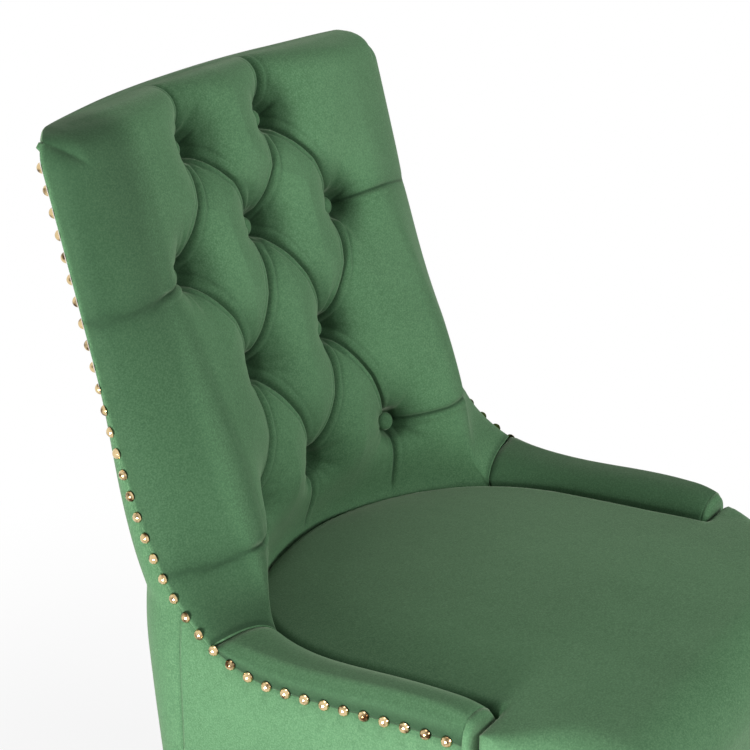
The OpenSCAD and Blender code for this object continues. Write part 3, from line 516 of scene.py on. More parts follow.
def tuft_height(x, z, span):
    """The padding's height as a share of the crest, its creases, and the painted shade in them."""
    height = 1 - np.exp(-np.maximum(span - button_flat, 0) / tuft_slope) * 1.02
    valley, crease, dark = np.zeros_like(x), np.zeros_like(x), np.zeros_like(x)
    for start, end, bow, depth in tuft_pleats():
        near, side, share = along_line(x, z, start, end, bow)
        side = side * (1 if start[0] < end[0] else -1)
        fade = ease(share / 0.10) * np.where(end[1] > back_top, 1 - 0.4 * share, 1)
        valley = np.maximum(valley, depth * np.exp(-near / valley_wide))
        line = -pleat_deep * bell(near, pleat_wide)
        for place, wide, rise in lips:
            line = line + rise * bell(side - place, wide) * (near < pleat_near)
        crease += fade * line
        dark = np.maximum(dark, fade * np.maximum(bell(near, fold_wide), 0.30 * np.exp(-near / 0.006)))
        # shallower folds run beside each pleat, with painted shade in them, and die out along those to the
        # sides and the seat
        strength = 0.25 + 0.75 * share if depth > seat_valley else 0.6 * (1 - share) ** 2
        for place, deep in side_folds:
            beside = fade * strength * bell(side - place, fold_wide) * (near < fold_near)
            crease -= deep * beside
            dark = np.maximum(dark, fold_dark * deep * beside)
    return np.clip(height, 0, 1) * (1 - valley), crease, dark


def gathers(span, angle, pick):
    """Short creases that fan out from each button, turned differently at each."""
    waves = sum(np.sin(count * angle + turn * pick + count) / count for count, turn in gather_waves)
    return waves * (gather_deep * bell(span - gather_at, gather_wide))


def brushed_nap(u, z):
    """Painted shade on one wing, where its nap lies away from the light, most of all beside its outer
    edge.
    """
    w = np.abs(u)
    high = ease((z - arm_top - 0.12) / 0.2)
    wing = wing_shade * ease((w - 0.55) / 0.15) + wing_edge_shade * bell(w - 0.88, 0.05) * high
    return np.where(u < 0, wing, 0) * (1 - ease((w - 0.95) / 0.05))


def padding(u, v):
    """Height of the cover above the button surface, and the painted shade in its folds."""
    p = back_base(u, v)
    x, z, w = p[..., 0], p[..., 2], np.abs(u)
    span, angle, pick = nearest_button(x, z)
    height, crease, dark = tuft_height(x, z, span)
    # the padding thins at the sides, the seat and the top
    side = (1 - np.clip(w / side_fade, 0, 1) ** 6) ** 1.5
    wing = ease((w - 0.5) / 0.35) * (1 - ease((z - arm_top) / wing_fade))
    low = ease((z - seat_line) / seat_fade) * lerp(1, 0.25, wing)
    high = np.sqrt(1 - np.clip((z - back_top + top_roll) / top_roll, 0, 1) ** 2)
    edges = side * low * high
    lift = (crest * edges * height * ease((span - 0.008) / 0.010)
            + crease * ease(span / 0.016) * np.sqrt(edges) + gathers(span, angle, pick) * edges)
    # painted shade along the pleats, in the hollows round the buttons, on one wing, and where the back
    # meets the arms' fold
    dark = (dark * ease((z - seat_line) / 0.02) * (0.35 + 0.65 * ease((1 - w) / 0.06))
            + hollow_dark * bell(span, hollow_r) + brushed_nap(u, z))
    arm_fold = arm_fold_dark * bell(v * back_rise, 0.0055) * ease((w - u_wall) / 0.03)
    return lift, np.clip(dark + arm_fold, 0, 1)


def round_corners(points):
    """Turns the square top corners of the back into rounded ones."""
    points = np.array(points, float)
    across = (np.abs(points[..., 0]) - top_half + corner_round) / corner_round
    up = (points[..., 2] - back_top + corner_round) / corner_round
    both = (across > 0) & (up > 0)
    reach = np.where(both, np.hypot(across, up), 1)
    share = np.where(both, np.maximum(across, up) / np.maximum(reach, 1e-9), 1)
    wide = np.sign(points[..., 0]) * (top_half - corner_round + corner_round * across * share)
    points[..., 0] = np.where(both, wide, points[..., 0])
    points[..., 2] = np.where(both, back_top - corner_round + corner_round * up * share, points[..., 2])
    return points


def soften_wings(front, u):
    """The foam rounds the ridges of the wings."""
    share = (ease((np.abs(u) - 0.62) / 0.10) * ease((0.985 - np.abs(u)) / 0.06))[None, :, None]
    for _ in range(soften_rounds):
        front[:, 1:-1] += share[:, 1:-1] * 0.25 * (front[:, 2:] - 2 * front[:, 1:-1] + front[:, :-2])


def back_pad():
    """The inside back: its tufted front, tucked in at the seat and carried over the top edge."""
    half, tall, step = 220, 320, 10
    t = np.linspace(-1, 1, 2 * half + 1)
    u = np.sign(t) * (0.80 * np.abs(t) + 0.20 * t * t)
    uu, vv = np.meshgrid(u, np.linspace(0, 1, tall + 1))
    base, n = back_base(uu, vv), back_normal(uu, vv)
    high, dark = padding(uu, vv)
    front = base + high[..., None] * n
    soften_wings(front, u)
    top = back_base(u, np.ones_like(u))
    rear_y = np.maximum(shell_y(top[:, 0], np.full_like(u, back_top - top_drop)), top[:, 1] + 0.002)
    # the wings' top edges round over as far as the depth behind them allows
    radius = np.minimum(wing_top_r * ease((np.abs(u) - 0.45) / 0.35), 0.7 * (rear_y - top[:, 1])) + 1e-6
    over = np.clip((front[..., 2] - back_top) / radius + 1, 0, 1)
    front[..., 1] += radius * (1 - np.sqrt(1 - over ** 2))
    # the first rows tuck in below the seat line, or close at the arm's fold
    wide = ease((u_wall + 0.02 - np.abs(u)) / 0.08)[:, None]
    lean = lean_at(np.abs(u))
    turned = lerp(0.001 * xyz(0, -np.sin(lean), -np.cos(lean)), xyz(0, 0 * u, -tuck), wide)
    tucked = turned * np.linspace(1, 1 / step, step)[:, None, None]
    # and the last rows carry the cover over the top edge
    w = np.linspace(0, 1, 2 * step + 1)[1:, None]
    wrap = xyz(top[:, 0] + 0 * w, lerp(top[:, 1], rear_y, w),
               back_top - (top_drop - cover_t - clear) * w * w)
    wrap += (front[-1] - top) * (1 - w[..., None])
    # the rear layer lies inside, thinner at the edges and drawn in below the top
    depth = foam_in + cover_t
    thin = lerp(1, 0.5, ease((np.abs(uu) - u_ridge) / (1 - u_ridge)))
    inner = base - depth * thin[..., None] * n
    inner_wrap = wrap * np.array([1 - wrap_in / top_half, 1, 1]) - np.array([0, 0, wrap_in])
    rear = np.concatenate([inner[0] + tucked, inner, inner_wrap])
    rear[..., 2] = np.minimum(rear[..., 2], back_top - wrap_in)
    front = np.concatenate([front[0] + tucked, front, wrap])
    piece = quilt("tufted_back", row(round_corners(front)), row(round_corners(rear)[::step, ::step]), step)
    # painted shade of the padding; none on the tucked and wrapped rows
    set_fold(piece, np.pad(dark, ((step, 2 * step), (0, 0))))
    return piece


back = back_pad()
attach(back, "root")
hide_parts("back_cover", "back_foam")
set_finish(back, "velvet")


# -------------------- seat
seat_clear = 0.001  # inside the CAD's own outline
nose_half, nose_reach, nose_corner = arm_half - 0.016, 0.172, 0.056
nose_gap = 0.004  # between the nose and the arms' fronts
nose_roll, nose_blend = 0.060, 0.090
seat_roll, front_share = 0.014, 0.72  # the roll beside the wall, and its share by the arms' fronts
seat_drop, seat_fall, seat_crown, blend_y = 0.006, 0.026, 0.010, 0.060
seat_middle = np.array([0, -0.060])
crevice_dark, wall_dark, rear_dark = 0.75, 0.30, 0.38  # shares of the painted shade in the crevice, beside the wall and at the rear


def seat_outline(off):
    """The seat's outline from above, drawn in by off, round from the middle of its front."""
    w, front, c = nose_half - off, off - nose_reach, nose_corner - off
    rear, inner = -nose_gap - off, seat_half - off
    a = np.linspace(0, math.pi / 2, 15)
    f = np.linspace(1, 0, 41)[1:] * math.pi / 2
    parts = [
        # the nose: its front edge, its corner and its side
        (np.linspace(0, w - c, 28)[:-1], front + np.zeros(27)),
        (w - c + c * np.sin(a), front + c * (1 - np.cos(a))),
        (w + np.zeros(13), np.linspace(front + c, rear - 0.006, 14)[1:]),
        # round behind the nose and along the arm's front
        (np.array([w - 0.0018, w - 0.006]), np.array([rear - 0.0018, rear])),
        (np.linspace(w - 0.012, inner + 0.004, 5), rear + np.zeros(5)),
        # in between the arms, then round to the middle of the rear
        (np.array([inner + 0.001, inner]), np.array([rear + 0.001, rear + 0.004])),
        (inner + np.zeros(18), np.linspace(rear + 0.012, corner_y, 18)),
        (inner * np.sin(f) ** (2 / wall_round),
         corner_y + (corner_reach - off) * np.cos(f) ** (2 / wall_round)),
    ]
    half = np.concatenate([np.stack(p, -1) for p in parts])
    other = half[1:-1][::-1] * np.array([-1, 1])
    return np.concatenate([half, other])


def roll(d, r):
    """Drop of an edge rolled to radius r, at distance d inside it."""
    return np.where(d >= r, 0, r - np.sqrt(np.maximum(r * r - (r - np.maximum(d, 0)) ** 2, 0)))


def seat_height(x, y):
    """The crowned top of the seat, with its edges rolled over."""
    back = np.clip(y / seat_reach, 0, 1)
    half = np.where(y > 0, np.maximum(wall_x(y), blend_y),
                    lerp(seat_half, nose_half, np.clip(-y / blend_y, 0, 1)))
    # distance inside the nose's edge
    qx, qy = np.abs(x) - nose_half + nose_corner, nose_corner - nose_reach - y
    in_nose = np.where((qx > 0) & (qy > 0), nose_corner - np.hypot(qx, qy),
                       np.minimum(nose_half - np.abs(x), y + nose_reach))
    # and inside the arms' fronts and the wall
    ahead, beside = np.maximum(0, -nose_gap - y), np.maximum(0, seat_half - np.abs(x))
    by_front = np.where(np.abs(x) > seat_half, ahead, np.hypot(ahead, beside))
    in_wall = np.where(y > -nose_gap, np.minimum(wall_x(y) - np.abs(x), seat_reach - y), by_front)
    edge = (roll(in_wall - 0.0005, seat_roll * lerp(front_share, 1, ease(y / blend_y)))
            + np.where(y > 0, 0, roll(in_nose, nose_roll * ease(-y / nose_blend) + 0.0001)))
    return (arm_top - seat_drop - seat_fall * back ** 1.3
            - seat_crown * np.minimum(1, np.abs(x) / half) ** 2 - edge)


def seat_pad():
    """The seat's cover over its foam: rings from the middle out, then down to the hems."""
    rim_line = seat_outline(seat_clear)
    rings = []
    for f in 1 - (1 - np.linspace(0, 1, 46)[1:]) ** 1.7:
        flat = seat_middle + f * (rim_line - seat_middle)
        rings.append(np.column_stack([flat, seat_height(*flat.T) - seat_clear]))
    # the nose hangs to the hem, and the rest tucks in behind the arms' covers
    edge_z, rear = rings[-1][:, 2], -nose_gap - seat_clear
    on_ear = (rim_line[:, 1] < rear + 0.001) & (np.abs(rim_line[:, 0]) > rail_x + 0.002)
    low = np.where((rim_line[:, 1] < rear - 0.001) | on_ear, hem_z, seat_line - tuck)
    for f in np.linspace(0, 1, 14)[1:]:
        rings.append(np.column_stack([rim_line, lerp(edge_z, low, f)]))
    inset, floor_z = seat_outline(seat_clear + 0.012), np.full(len(rim_line), seat_line - tuck)
    rings.append(np.column_stack([inset, low]))
    rings.append(np.column_stack([seat_middle + 0.5 * (inset - seat_middle), floor_z]))
    tip = np.array([[*seat_middle, seat_height(*seat_middle) - seat_clear]])
    tail = np.array([[*seat_middle, seat_line - tuck]])
    points = np.concatenate([tip, *rings, tail])
    count, last = len(rim_line), len(points) - 1
    j = np.arange(count)
    k = (j + 1) % count
    faces = [(0, 1 + a, 1 + b) for a, b in zip(j, k)]
    for i in range(len(rings) - 1):
        a, b = 1 + i * count, 1 + (i + 1) * count
        faces += [(a + m, b + m, b + n, a + n) for m, n in zip(j, k)]
    faces += [(last, last - count + b, last - count + a) for a, b in zip(j, k)]
    piece = piece_from("seat_cushion", row(points), faces)
    # painted shade: the velvet darkens in the crevice round the seat and towards its rear
    x, y = points[:, 0], points[:, 1]
    wall = np.minimum(wall_x(y) - np.abs(x), seat_reach - y)
    near = np.where(y > 0, np.maximum(wall, 0), 0.2)
    rearward = ease((y - 0.05) / (seat_reach - 0.05))
    by_wall = crevice_dark * bell(near, 0.008) + wall_dark * np.exp(-near / 0.035)
    set_fold(piece, by_wall + rear_dark * rearward)
    return piece


seat = seat_pad()
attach(seat, "root")
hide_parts("seat_cover", "seat_foam", "front_padding")
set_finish(seat, "velvet")


# -------------------- arms and outside panels
arm_pad_t = 0.008
roll_y, roll_drop, facing_round = 0.030, 0.006, 0.004
bulge_t, bulge_at, bulge_wide, fold_drop = 0.0022, 0.16, 0.07, 0.0022
# painted shade in the groove above the nails, in the fold at the back, along the nails and in the puckers
# below them
groove_dark, fold_shade, press_dark, pucker_dark = 0.90, 0.75, 0.40, 0.16
nail_pitch, nail_press, pucker = 0.0205, 0.0008, 0.0004
left_arm_shade, right_arm_shade = 0.62, 0.10  # how much painted shade darkens each arm's nap


def front_roll(points):
    """Lowers the arm's padding towards its front end, where it rounds over."""
    points = np.array(points, float)
    ahead = np.clip(1 - points[..., 1] / roll_y, 0, 1)
    share = np.clip((points[..., 2] - seat_line) / (arm_top - seat_line), 0, 1)
    points[..., 2] -= roll_drop * ahead ** 2 * share
    return points


def arm_pad():
    """The padded cover of the left arm, which swells above its nails."""
    step = 6
    t = np.linspace(0, 1, 16 * step + 1)
    q = np.linspace(0, 1, 12 * step + 1)
    tt, qq = np.meshgrid(t, q, indexing="ij")
    yy = lerp(facing_t + clear, fold_y(qq) - fold_gap, tt)
    front = front_roll(arm_point(yy, qq))
    inner = front_roll(arm_point(yy, qq, arm_pad_t))
    down = xyz(0, 0, -tuck) * np.linspace(1, 1 / step, step)[:, None]
    front = np.concatenate([front[:, :1] + down[None], front], 1)
    inner = np.concatenate([inner[:, :1] + down[None], inner], 1)
    rise = np.concatenate([np.zeros(step), q])
    bulge = bell((1 - rise) - bulge_at, bulge_wide) - bell(1 - rise, bulge_wide) * 0.4
    front[..., 0] += bulge_t * bulge * ease(front[..., 1] / 0.02)
    # the cover turns down into the fold against the back
    fold = bell((1 - t) * arm_len, 0.0045)[:, None] * ease(rise / 0.3)
    front[..., 2] -= fold_drop * fold
    piece = quilt("left_arm_pad", row(front), row(inner[::step, ::step]), step)
    # painted shade in the groove above the nails and in the fold at the back
    set_fold(piece, groove_dark * bell(1 - rise, 0.20) + fold_shade * fold)
    return piece


def side_blend(y, z):
    """Outer face behind the fold: from the arm's side to the seam."""
    return lerp(side_x(y), rim(z)[0], ease((y - arm_len) / seam_in))


def outside_arm():
    """The outside panel of the left arm, from the nails down to the hem."""
    step = 10
    y = np.linspace(facing_t + clear, seam_y - clear, 14 * step + 1)
    far = y > arm_len
    nails = xyz(side_x(y), y, arm_nail_z(y))
    nails[far] = nail_point(y[far])
    k = 1 - (1 - np.linspace(0, 1, 8 * step + 1)) ** 1.5
    yy, kk = np.meshgrid(y, k, indexing="ij")
    gap = np.where(far, 3 * clear, clear)
    z = lerp(hem_z, (nails[:, 2] - gap)[:, None], kk)
    below = nails[:, 2:3] - z
    meet = nails[:, 0] - side_blend(y, nails[:, 2])
    x = side_blend(yy, z) + meet[:, None] * ease(1 - below / nail_blend)
    front = xyz(x, yy, z)
    inner = front - xyz(panel_t, 0, 0)
    # the nails pull the cloth into shallow puckers below them
    pull = np.cos(2 * math.pi * yy / nail_pitch)
    press = nail_press * bell(below, 0.005) * (below > 0)
    front[..., 0] -= press + pucker * pull * bell(below - 0.010, 0.008)
    piece = quilt("left_outside_panel", row(front), row(inner[::step, ::step]), step)
    # painted shade along the nails and in the puckers below them
    shade = press_dark * bell(below, 0.006) + pucker_dark * bell(below - 0.012, 0.007) * (0.5 + 0.5 * pull)
    set_fold(piece, shade)
    return piece


def outside_back():
    """The outside of the back, from seam to seam and from the hem to the top."""
    step = 6
    s = np.linspace(-1, 1, 20 * step + 1)
    s = np.sign(s) * (0.6 * np.abs(s) + 0.4 * s * s)
    low = np.linspace(hem_z, seam_top[2], 4 * step + 1)[:-1]
    high = np.linspace(seam_top[2], back_top - top_drop - clear, 14 * step + 1)
    ss, zz = np.meshgrid(s, np.concatenate([low, high]))
    front = round_corners(shell_point(ss, zz))
    inner = round_corners(shell_point(ss, zz, panel_t))
    return quilt("outside_back_panel", row(front[:, ::-1]), row(inner[::step, ::step][:, ::-1]), step)


left_arm = arm_pad()
right_arm = mirrored(left_arm, "right_arm_pad")
# painted shade over both arms, deeper on the left
deepen(left_arm, left_arm_shade)
deepen(right_arm, right_arm_shade)
left_panel = outside_arm()
right_panel = mirrored(left_panel, "right_outside_panel")
rear_panel = outside_back()
for pad, nodes, fill in (
        (left_arm, ("left_arm_cover", "left_arm_foam"), 0.7),
        (right_arm, ("right_arm_cover", "right_arm_foam"), 0.7),
        (left_panel, ("left_outside_arm",), 0.9), (right_panel, ("right_outside_arm",), 0.9),
        (rear_panel, ("outside_back",), 0.9)):
    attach(pad, "root")
    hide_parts(*nodes)
    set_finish(pad, "velvet")


# -------------------- arm fronts and buttons
facing_steps = ((0.0007, 0.0011), (0.0011, 0.0009), (0.0016, 0.0006), (0.0020, 0.0003))  # inset, rise
cap_t = 0.0022  # a button's straight side
cap_steps = ((0.0009, 0.0019), (0.0016, 0.0017), (0.0022, 0.0012), (0.0024, 0.0006), (0.0018, 0.0002))


def arm_facing():
    """Padded panel on the front of an arm, from the arm's top down to the hem."""
    q = np.linspace(0, 1, 40)
    outline = front_roll(arm_point(facing_t + 0 * q, q))[:, [0, 2]].tolist()
    outline += [[side_x(0.0), lerp(arm_nail_z(0.0), hem_z, f)] for f in (0.25, 0.5, 0.75, 1)]
    outline += [[rail_x + clear, hem_z], [rail_x + clear, seat_line - tuck - 0.010],
                [seat_half, seat_line - tuck - 0.004]]
    bpy.ops.object.select_all(action="DESELECT")
    bpy.ops.mesh.primitive_circle_add(vertices=len(outline), radius=0.1, fill_type="NGON",
                                      location=(0, 0, 0))
    panel = bpy.context.object
    panel.name = panel.data.name = "left_arm_front"
    for vertex, (x, z) in zip(panel.data.vertices, outline):
        vertex.co = (x, arm_front + facing_t, z)
    edit(panel)
    bpy.ops.mesh.select_all(action="SELECT")
    bpy.ops.mesh.extrude_region_move(TRANSFORM_OT_translate={"value": (0, -facing_t, 0)})
    bpy.ops.mesh.select_all(action="SELECT")
    bpy.ops.mesh.normals_make_consistent(inside=False)
    pick_faces(panel, lambda normal: normal.y < -0.5)
    for inset, rise in facing_steps:
        bpy.ops.mesh.inset(thickness=inset, use_boundary=True)
        bpy.ops.transform.translate(value=(0, -rise, 0))
    done()
    # its upper edge rounds over towards the front, as the padding under it does
    for vertex in panel.data.vertices:
        ahead = max(0.0, arm_front + facing_t - vertex.co.y) / facing_t
        puff = facing_round * (1 - math.sqrt(max(0.0, 1 - min(1.0, ahead) ** 2)))
        share = max(0.0, min(1.0, (vertex.co.z - seat_line) / (arm_top - seat_line)))
        vertex.co.z -= puff * share
        vertex.co.x += 0.35 * puff * share * (1 if vertex.co.x < (seat_half + arm_half) / 2 else -1)
    panel.data.shade_smooth()
    return panel


left_facing = arm_facing()
right_facing = mirrored(left_facing, "right_arm_front")
for panel, node in ((left_facing, "left_arm_facing"), (right_facing, "right_arm_facing")):
    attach(panel, "root")
    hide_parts(node)
    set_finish(panel, "velvet")


def button():
    """A velvet-covered button, its face up and its base at the origin."""
    bpy.ops.object.select_all(action="DESELECT")
    bpy.ops.mesh.primitive_cylinder_add(vertices=40, radius=button_r, depth=cap_t,
                                        location=(0, 0, cap_t / 2))
    cap = bpy.context.object
    edit(cap)
    pick_faces(cap, lambda normal: normal.z > 0.5)
    for inset, rise in cap_steps:
        bpy.ops.mesh.inset(thickness=inset)
        bpy.ops.transform.translate(value=(0, 0, rise))
    done()
    apply_modifier(cap, "SUBSURF", levels=1, render_levels=1)
    cap.data.shade_smooth()
    return cap


model = button()
caps = []
for x, z in buttons:
    u = math.copysign(1, x) * float(u_at_x(abs(x), np.array(z))) if x else 0.0
    v = float(v_at_z(np.array(u), np.array(z)))
    n = back_normal(np.array(u), np.array(v))
    caps.append(placed_copy(model, row(back_base(u, v) + button_gap * n), n))
bpy.data.objects.remove(model)
back_buttons = join(caps, "back_buttons")
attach(back_buttons, "root")
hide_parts("tufting_buttons")
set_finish(back_buttons, "velvet")


# -------------------- legs
level_t = 0.0015  # points this close to a leg's end count as on it


def leg(node):
    """A tapered square leg with softened edges, as wide at both ends as its CAD node."""
    low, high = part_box(node)
    middle = (low + high) / 2
    ends = []
    for z in (low.z, high.z):
        level = [v.co for v in frame["nodes"][node].data.vertices if abs(v.co.z - z) < level_t]
        ends.append((min(c.x for c in level), max(c.x for c in level),
                     min(c.y for c in level), max(c.y for c in level)))
    bpy.ops.object.select_all(action="DESELECT")
    bpy.ops.mesh.primitive_cube_add(size=1, location=middle, scale=high - low)
    post = bpy.context.object
    post.name = post.data.name = node.replace("_leg", "_wooden_leg")
    bpy.ops.object.transform_apply(location=True, rotation=False, scale=True)
    for vertex in post.data.vertices:
        x0, x1, y0, y1 = ends[1 if vertex.co.z > middle.z else 0]
        vertex.co.x = x1 if vertex.co.x > middle.x else x0
        vertex.co.y = y1 if vertex.co.y > middle.y else y0
    edit(post)
    bpy.ops.mesh.select_all(action="SELECT")
    bpy.ops.mesh.subdivide(number_cuts=2)
    done()
    apply_modifier(post, "BEVEL", width=0.0025, segments=3, limit_method="ANGLE",
                   angle_limit=math.radians(40))
    select_only(post)
    bpy.ops.object.shade_smooth_by_angle(angle=math.radians(35))
    return post


for side in ("left", "right"):
    for end in ("front", "rear"):
        node = f"{side}_{end}_leg"
        post = leg(node)
        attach(post, "root")
        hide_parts(node)
        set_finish(post, "leg_wood")


# -------------------- finishes
class Flow:
    """A node's output; sums and products with it add Math nodes."""

    def __init__(self, shading, socket):
        self.shading, self.socket = shading, socket

    def maths(self, operation, *others):
        sockets = {str(place): value for place, value in enumerate((self, *others))}
        return self.shading.node("Math", {"operation": operation}, **sockets)

    def __add__(self, other):
        return self.maths("ADD", other)

    def __mul__(self, other):
        return self.maths("MULTIPLY", other)

    __radd__, __rmul__ = __add__, __mul__


class Shading:
    """A node tree whose nodes are added one by one."""

    def __init__(self, tree):
        self.tree = tree

    def node(self, kind, settings=None, output=0, **sockets):
        """Adds a node: its settings first, then the values or links of its sockets."""
        made = self.tree.nodes.new("ShaderNode" + kind)
        for name, value in (settings or {}).items():
            if name == "stops":
                ramp = made.color_ramp
                while len(ramp.elements) < len(value):
                    ramp.elements.new(1.0)
                for element, (place, colour) in zip(ramp.elements, value):
                    element.position, element.color = place, (*colour, 1.0)
            else:
                setattr(made, name, value)
        self.set(made, **sockets)
        return Flow(self, made.outputs[output])

    def set(self, made, **sockets):
        """Feeds a node's sockets, named or numbered, with values or with other nodes' outputs."""
        for name, value in sockets.items():
            socket = made.inputs[int(name) if name.isdigit() else name.replace("_", " ")]
            if isinstance(value, Flow):
                self.tree.links.new(value.socket, socket)
            else:
                socket.default_value = (*value, 1.0) if socket.type == "RGBA" else value

    def place(self, scale=(1, 1, 1)):
        """Object coordinates, stretched."""
        return self.node("Mapping", Vector=self.node("TexCoord", output="Object"), Scale=scale)

    def noise(self, where, scale, detail=3.0, roughness=0.5):
        return self.node("TexNoise", Vector=where, Scale=scale, Detail=detail, Roughness=roughness)

    def ramp(self, value, *stops):
        return self.node("ValToRGB", {"stops": stops}, Fac=value)

    def mix(self, share, first, second):
        """A colour between two; the Mix node's colour sockets are 6 and 7, and its colour output 2."""
        return self.node("Mix", {"data_type": "RGBA"}, output=2, **{"0": share, "6": first, "7": second})

    def bump(self, height, distance, strength):
        return self.node("Bump", Height=height, Distance=distance, Strength=strength)


class Finish(Shading):
    """A material, painted through the sockets of its Principled shader."""

    def __init__(self, name, **constants):
        self.material = bpy.data.materials.new(name)
        self.material.use_nodes = True
        super().__init__(self.material.node_tree)
        self.shader = self.tree.nodes["Principled BSDF"]
        self.set(self.shader, **constants)

    def paint(self, **sockets):
        self.set(self.shader, **sockets)


def grey(value):
    return (value, value, value)


def velvet():
    """Cut-pile velvet: the nap lies unevenly, the pile glows at its edges and painted shade darkens the
    folds.
    """
    cloth = Finish("green_velvet", Roughness=0.8, Sheen_Weight=0.32, Sheen_Roughness=0.40,
                   Sheen_Tint=(0.78, 0.92, 0.68), Specular_IOR_Level=0.10)
    where = cloth.place()
    brushed = cloth.noise(cloth.place((1.0, 0.55, 0.8)), 7.0, 5.0, 0.55)
    patches = cloth.ramp(brushed, (0.30, grey(0.0)), (0.70, grey(1.0)))
    tufts = cloth.noise(where, 210.0, 3.0, 0.6)
    pile = cloth.noise(where, 620.0, 3.0, 0.65)
    between = cloth.ramp(tufts, (0.35, grey(0.20)), (0.60, grey(0.0)))
    tips = cloth.ramp(pile, (0.42, grey(0.0)), (0.68, grey(0.50)))
    fold = cloth.node("Attribute", {"attribute_name": "fold"}, output="Fac")
    colour = cloth.mix(patches, (0.048, 0.118, 0.054), (0.070, 0.162, 0.077))
    colour = cloth.mix(between, colour, (0.018, 0.060, 0.024))
    colour = cloth.mix(tips, colour, (0.130, 0.255, 0.132))
    # painted shade: the shade stored on each point darkens the colour
    cloth.paint(Base_Color=cloth.mix(fold * 0.82, colour, (0.010, 0.030, 0.013)))
    cloth.paint(Roughness=cloth.noise(where, 40.0, 3.0) * 0.16 + 0.70)
    cloth.paint(Normal=cloth.bump(pile * 0.6 + tufts * 0.5, 0.0007, 0.40))
    return cloth.material


def brass():
    """Domed brass nails, bright with dark brown patches painted as reflections."""
    metal = Finish("polished_brass", Metallic=1.0)
    where = metal.place()
    shine = metal.mix(metal.noise(where, 160.0, 4.0), (0.62, 0.44, 0.20), (0.86, 0.68, 0.40))
    # painted reflection: dark patches stand in for what a polished nail would mirror
    painted_reflection = metal.ramp(metal.noise(where, 150.0, 2.0, 0.4), (0.33, grey(1.0)), (0.52, grey(0.0)))
    metal.paint(Base_Color=metal.mix(painted_reflection, shine, (0.085, 0.042, 0.016)))
    metal.paint(Roughness=metal.noise(where, 420.0, 3.0) * 0.08 + 0.06)
    metal.paint(Normal=metal.bump(metal.noise(where, 900.0), 0.00003, 0.2))
    return metal.material


def wood(name, dark, light, roughness, gloss=0.0):
    """Straight grain along Z with fine pores."""
    timber = Finish(name, Coat_Weight=gloss, Coat_Roughness=0.25)
    rings = timber.noise(timber.place((26.0, 26.0, 1.6)), 2.4, 6.0, 0.6)
    pores = timber.noise(timber.place((420.0, 420.0, 16.0)), 1.0, 3.0, 0.7)
    late = tuple(0.7 * a + 0.3 * b for a, b in zip(dark, light))
    grain = timber.ramp(rings, (0.30, dark), (0.52, light), (0.74, late))
    in_pore = timber.ramp(pores, (0.42, grey(0.45)), (0.55, grey(0.0)))
    timber.paint(Base_Color=timber.mix(in_pore, grain, dark))
    timber.paint(Roughness=rings * 0.14 + roughness)
    timber.paint(Normal=timber.bump(pores, 0.0003, 0.3))
    return timber.material


def woven(name, dark, light, pitch, roughness=0.85):
    """A plain weave of threads at the given pitch."""
    cloth = Finish(name)
    where = cloth.place()
    x, y, z = (cloth.node("SeparateXYZ", output=axis, Vector=where) for axis in "XYZ")
    turn = 2 * math.pi / pitch
    warp, weft = (x * turn).maths("SINE"), ((y + z) * turn).maths("SINE")
    thread = warp * weft * 0.5 + 0.5
    slub = cloth.noise(where, 120.0, 3.0)
    cloth.paint(Base_Color=cloth.mix(thread * 0.6 + slub * 0.4, dark, light))
    cloth.paint(Roughness=slub * 0.1 + roughness)
    cloth.paint(Normal=cloth.bump(thread, 0.0004, 0.6))
    return cloth.material


def matt(name, dark, light, scale, roughness, metallic=0.0):
    """A plain finish with mottling at one scale and fine tooth."""
    plain = Finish(name, Metallic=metallic)
    where = plain.place()
    plain.paint(Base_Color=plain.mix(plain.noise(where, scale, 5.0, 0.6), dark, light))
    plain.paint(Roughness=plain.noise(where, scale * 3, 3.0) * 0.2 + roughness)
    plain.paint(Normal=plain.bump(plain.noise(where, scale * 8), 0.0002, 0.5))
    return plain.material


finishes = {
    "velvet": velvet(),
    "brass": brass(),
    "leg_wood": wood("dark_leg_wood", (0.022, 0.012, 0.007), (0.062, 0.034, 0.019), 0.28, 0.4),
    "frame_wood": wood("plain_frame_wood", (0.36, 0.22, 0.12), (0.58, 0.42, 0.26), 0.55),
    "webbing": woven("jute_webbing", (0.25, 0.19, 0.12), (0.62, 0.53, 0.38), 0.004),
    "felt": matt("grey_felt", (0.16, 0.16, 0.16), (0.30, 0.30, 0.29), 260.0, 0.9),
    "cambric": woven("black_cambric", (0.008, 0.008, 0.008), (0.035, 0.035, 0.036), 0.0022),
    "foam": matt("cushion_foam", (0.62, 0.52, 0.30), (0.80, 0.72, 0.50), 700.0, 0.85),
    "steel": matt("spring_steel", (0.22, 0.22, 0.23), (0.42, 0.42, 0.43), 180.0, 0.35, 1.0),
    "glide": matt("nylon_glide", (0.03, 0.03, 0.03), (0.07, 0.07, 0.07), 220.0, 0.5),
}


def dress(piece, material):
    piece.data.materials.clear()
    piece.data.materials.append(material)


node_slot = {part["node"]: part["material_slot"] for part in frame["record"]["subparts"]}
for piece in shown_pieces():
    wanted = piece.get("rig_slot") or node_slot.get(piece.get("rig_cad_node"), "frame_wood")
    dress(piece, finishes[wanted])


# -------------------- floor, light and camera
chair_middle = (0, 0, 0.6)
floor_size, shadow_r, white_r, shadow_white = 12, 0.55, 1.3, 0.86
camera_place, camera_aim = (-1.480, arm_front - 0.694, 1.406), (0.7746, 0.5011, -0.3859)
camera_lens, camera_sensor = 93.55, 36.0


def seen(shading):
    """1 for what is seen directly, in a reflection or through glass, and 0 for light that falls."""
    camera, glossy, through = (shading.node("LightPath", output=f"Is {kind} Ray")
                               for kind in ("Camera", "Glossy", "Transmission"))
    return camera.maths("MAXIMUM", glossy).maths("MAXIMUM", through)


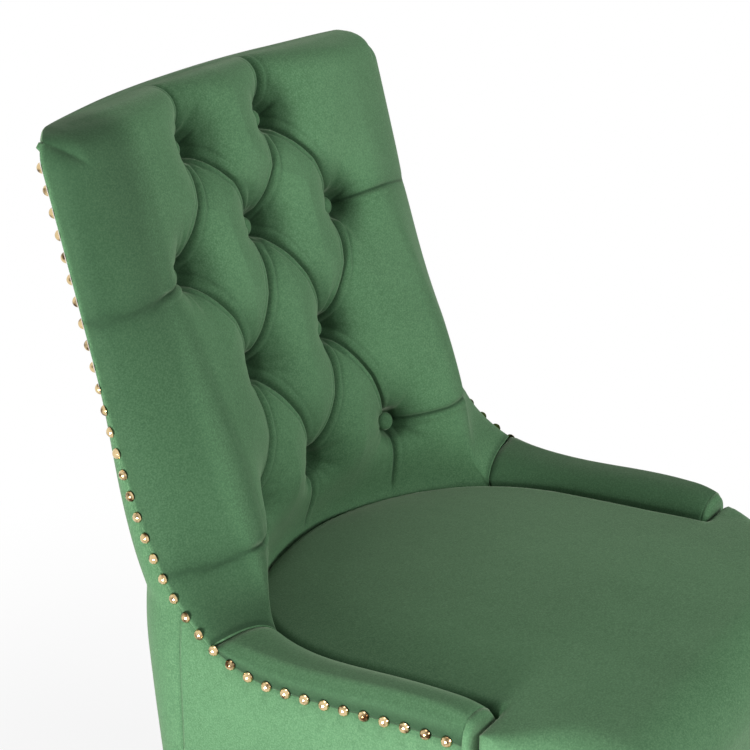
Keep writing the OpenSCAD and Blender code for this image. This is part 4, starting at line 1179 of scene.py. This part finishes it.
def make_world():
    """Soft light from all round, which shows as plain white."""
    world = bpy.data.worlds.new("studio")
    bpy.context.scene.world = world
    world.use_nodes = True
    world.node_tree.nodes.remove(world.node_tree.nodes["Background"])
    sky = Shading(world.node_tree)
    light = sky.node("Background", Color=(0.95, 0.97, 1.0), Strength=0.13)
    white = sky.node("Background", Color=grey(1.0), Strength=1.0)
    shown = sky.node("MixShader", **{"0": seen(sky), "1": light, "2": white})
    sky.set(sky.tree.nodes["World Output"], Surface=shown)


def make_floor():
    """A pale floor that keeps the chair's shadow and turns white away from it."""
    bpy.ops.object.select_all(action="DESELECT")
    bpy.ops.mesh.primitive_plane_add(size=floor_size, location=(0, 0, 0))
    floor = bpy.context.object
    floor.name = "studio_floor"
    pale = Finish("pale_floor", Roughness=0.9)
    where = pale.place()
    pale.paint(Base_Color=pale.mix(pale.noise(where, 3.0), grey(0.86), grey(0.89)))
    away = pale.node("VectorMath", {"operation": "LENGTH"}, output="Value", **{"0": where})
    whiter = pale.node("MapRange", {"interpolation_type": "SMOOTHSTEP"}, Value=away,
                       From_Min=shadow_r, From_Max=white_r, To_Min=shadow_white, To_Max=1.0)
    shader = Flow(pale, pale.shader.outputs[0])
    glow = pale.node("Emission", Strength=1.0)
    shown = pale.node("MixShader", **{"0": seen(pale) * whiter, "1": shader, "2": glow})
    pale.set(pale.tree.nodes["Material Output"], Surface=shown)
    dress(floor, pale.material)


def aim(holder, place, direction):
    bpy.context.scene.collection.objects.link(holder)
    holder.location = place
    holder.rotation_mode = "QUATERNION"
    holder.rotation_quaternion = Vector(direction).to_track_quat("-Z", "Y")


def lamp(name, place, size, power):
    """A round soft lamp that faces the chair."""
    light = bpy.data.lights.new(name, "AREA")
    light.shape, light.size, light.energy = "DISK", size, power
    aim(bpy.data.objects.new(name, light), place, Vector(chair_middle) - Vector(place))


def make_camera():
    data = bpy.data.cameras.new("camera")
    data.sensor_width, data.lens = camera_sensor, camera_lens
    camera = bpy.data.objects.new("camera", data)
    aim(camera, camera_place, camera_aim)
    bpy.context.scene.camera = camera


make_world()
make_floor()
lamp("key", (-2.35, -0.10, 0.42), 0.8, 94.0)
lamp("fill", (0.3, -2.4, 1.45), 1.1, 52.0)
lamp("top", (0.2, -0.3, 3.0), 1.4, 18.0)
make_camera()
bpy.context.scene.view_settings.view_transform = "Standard"
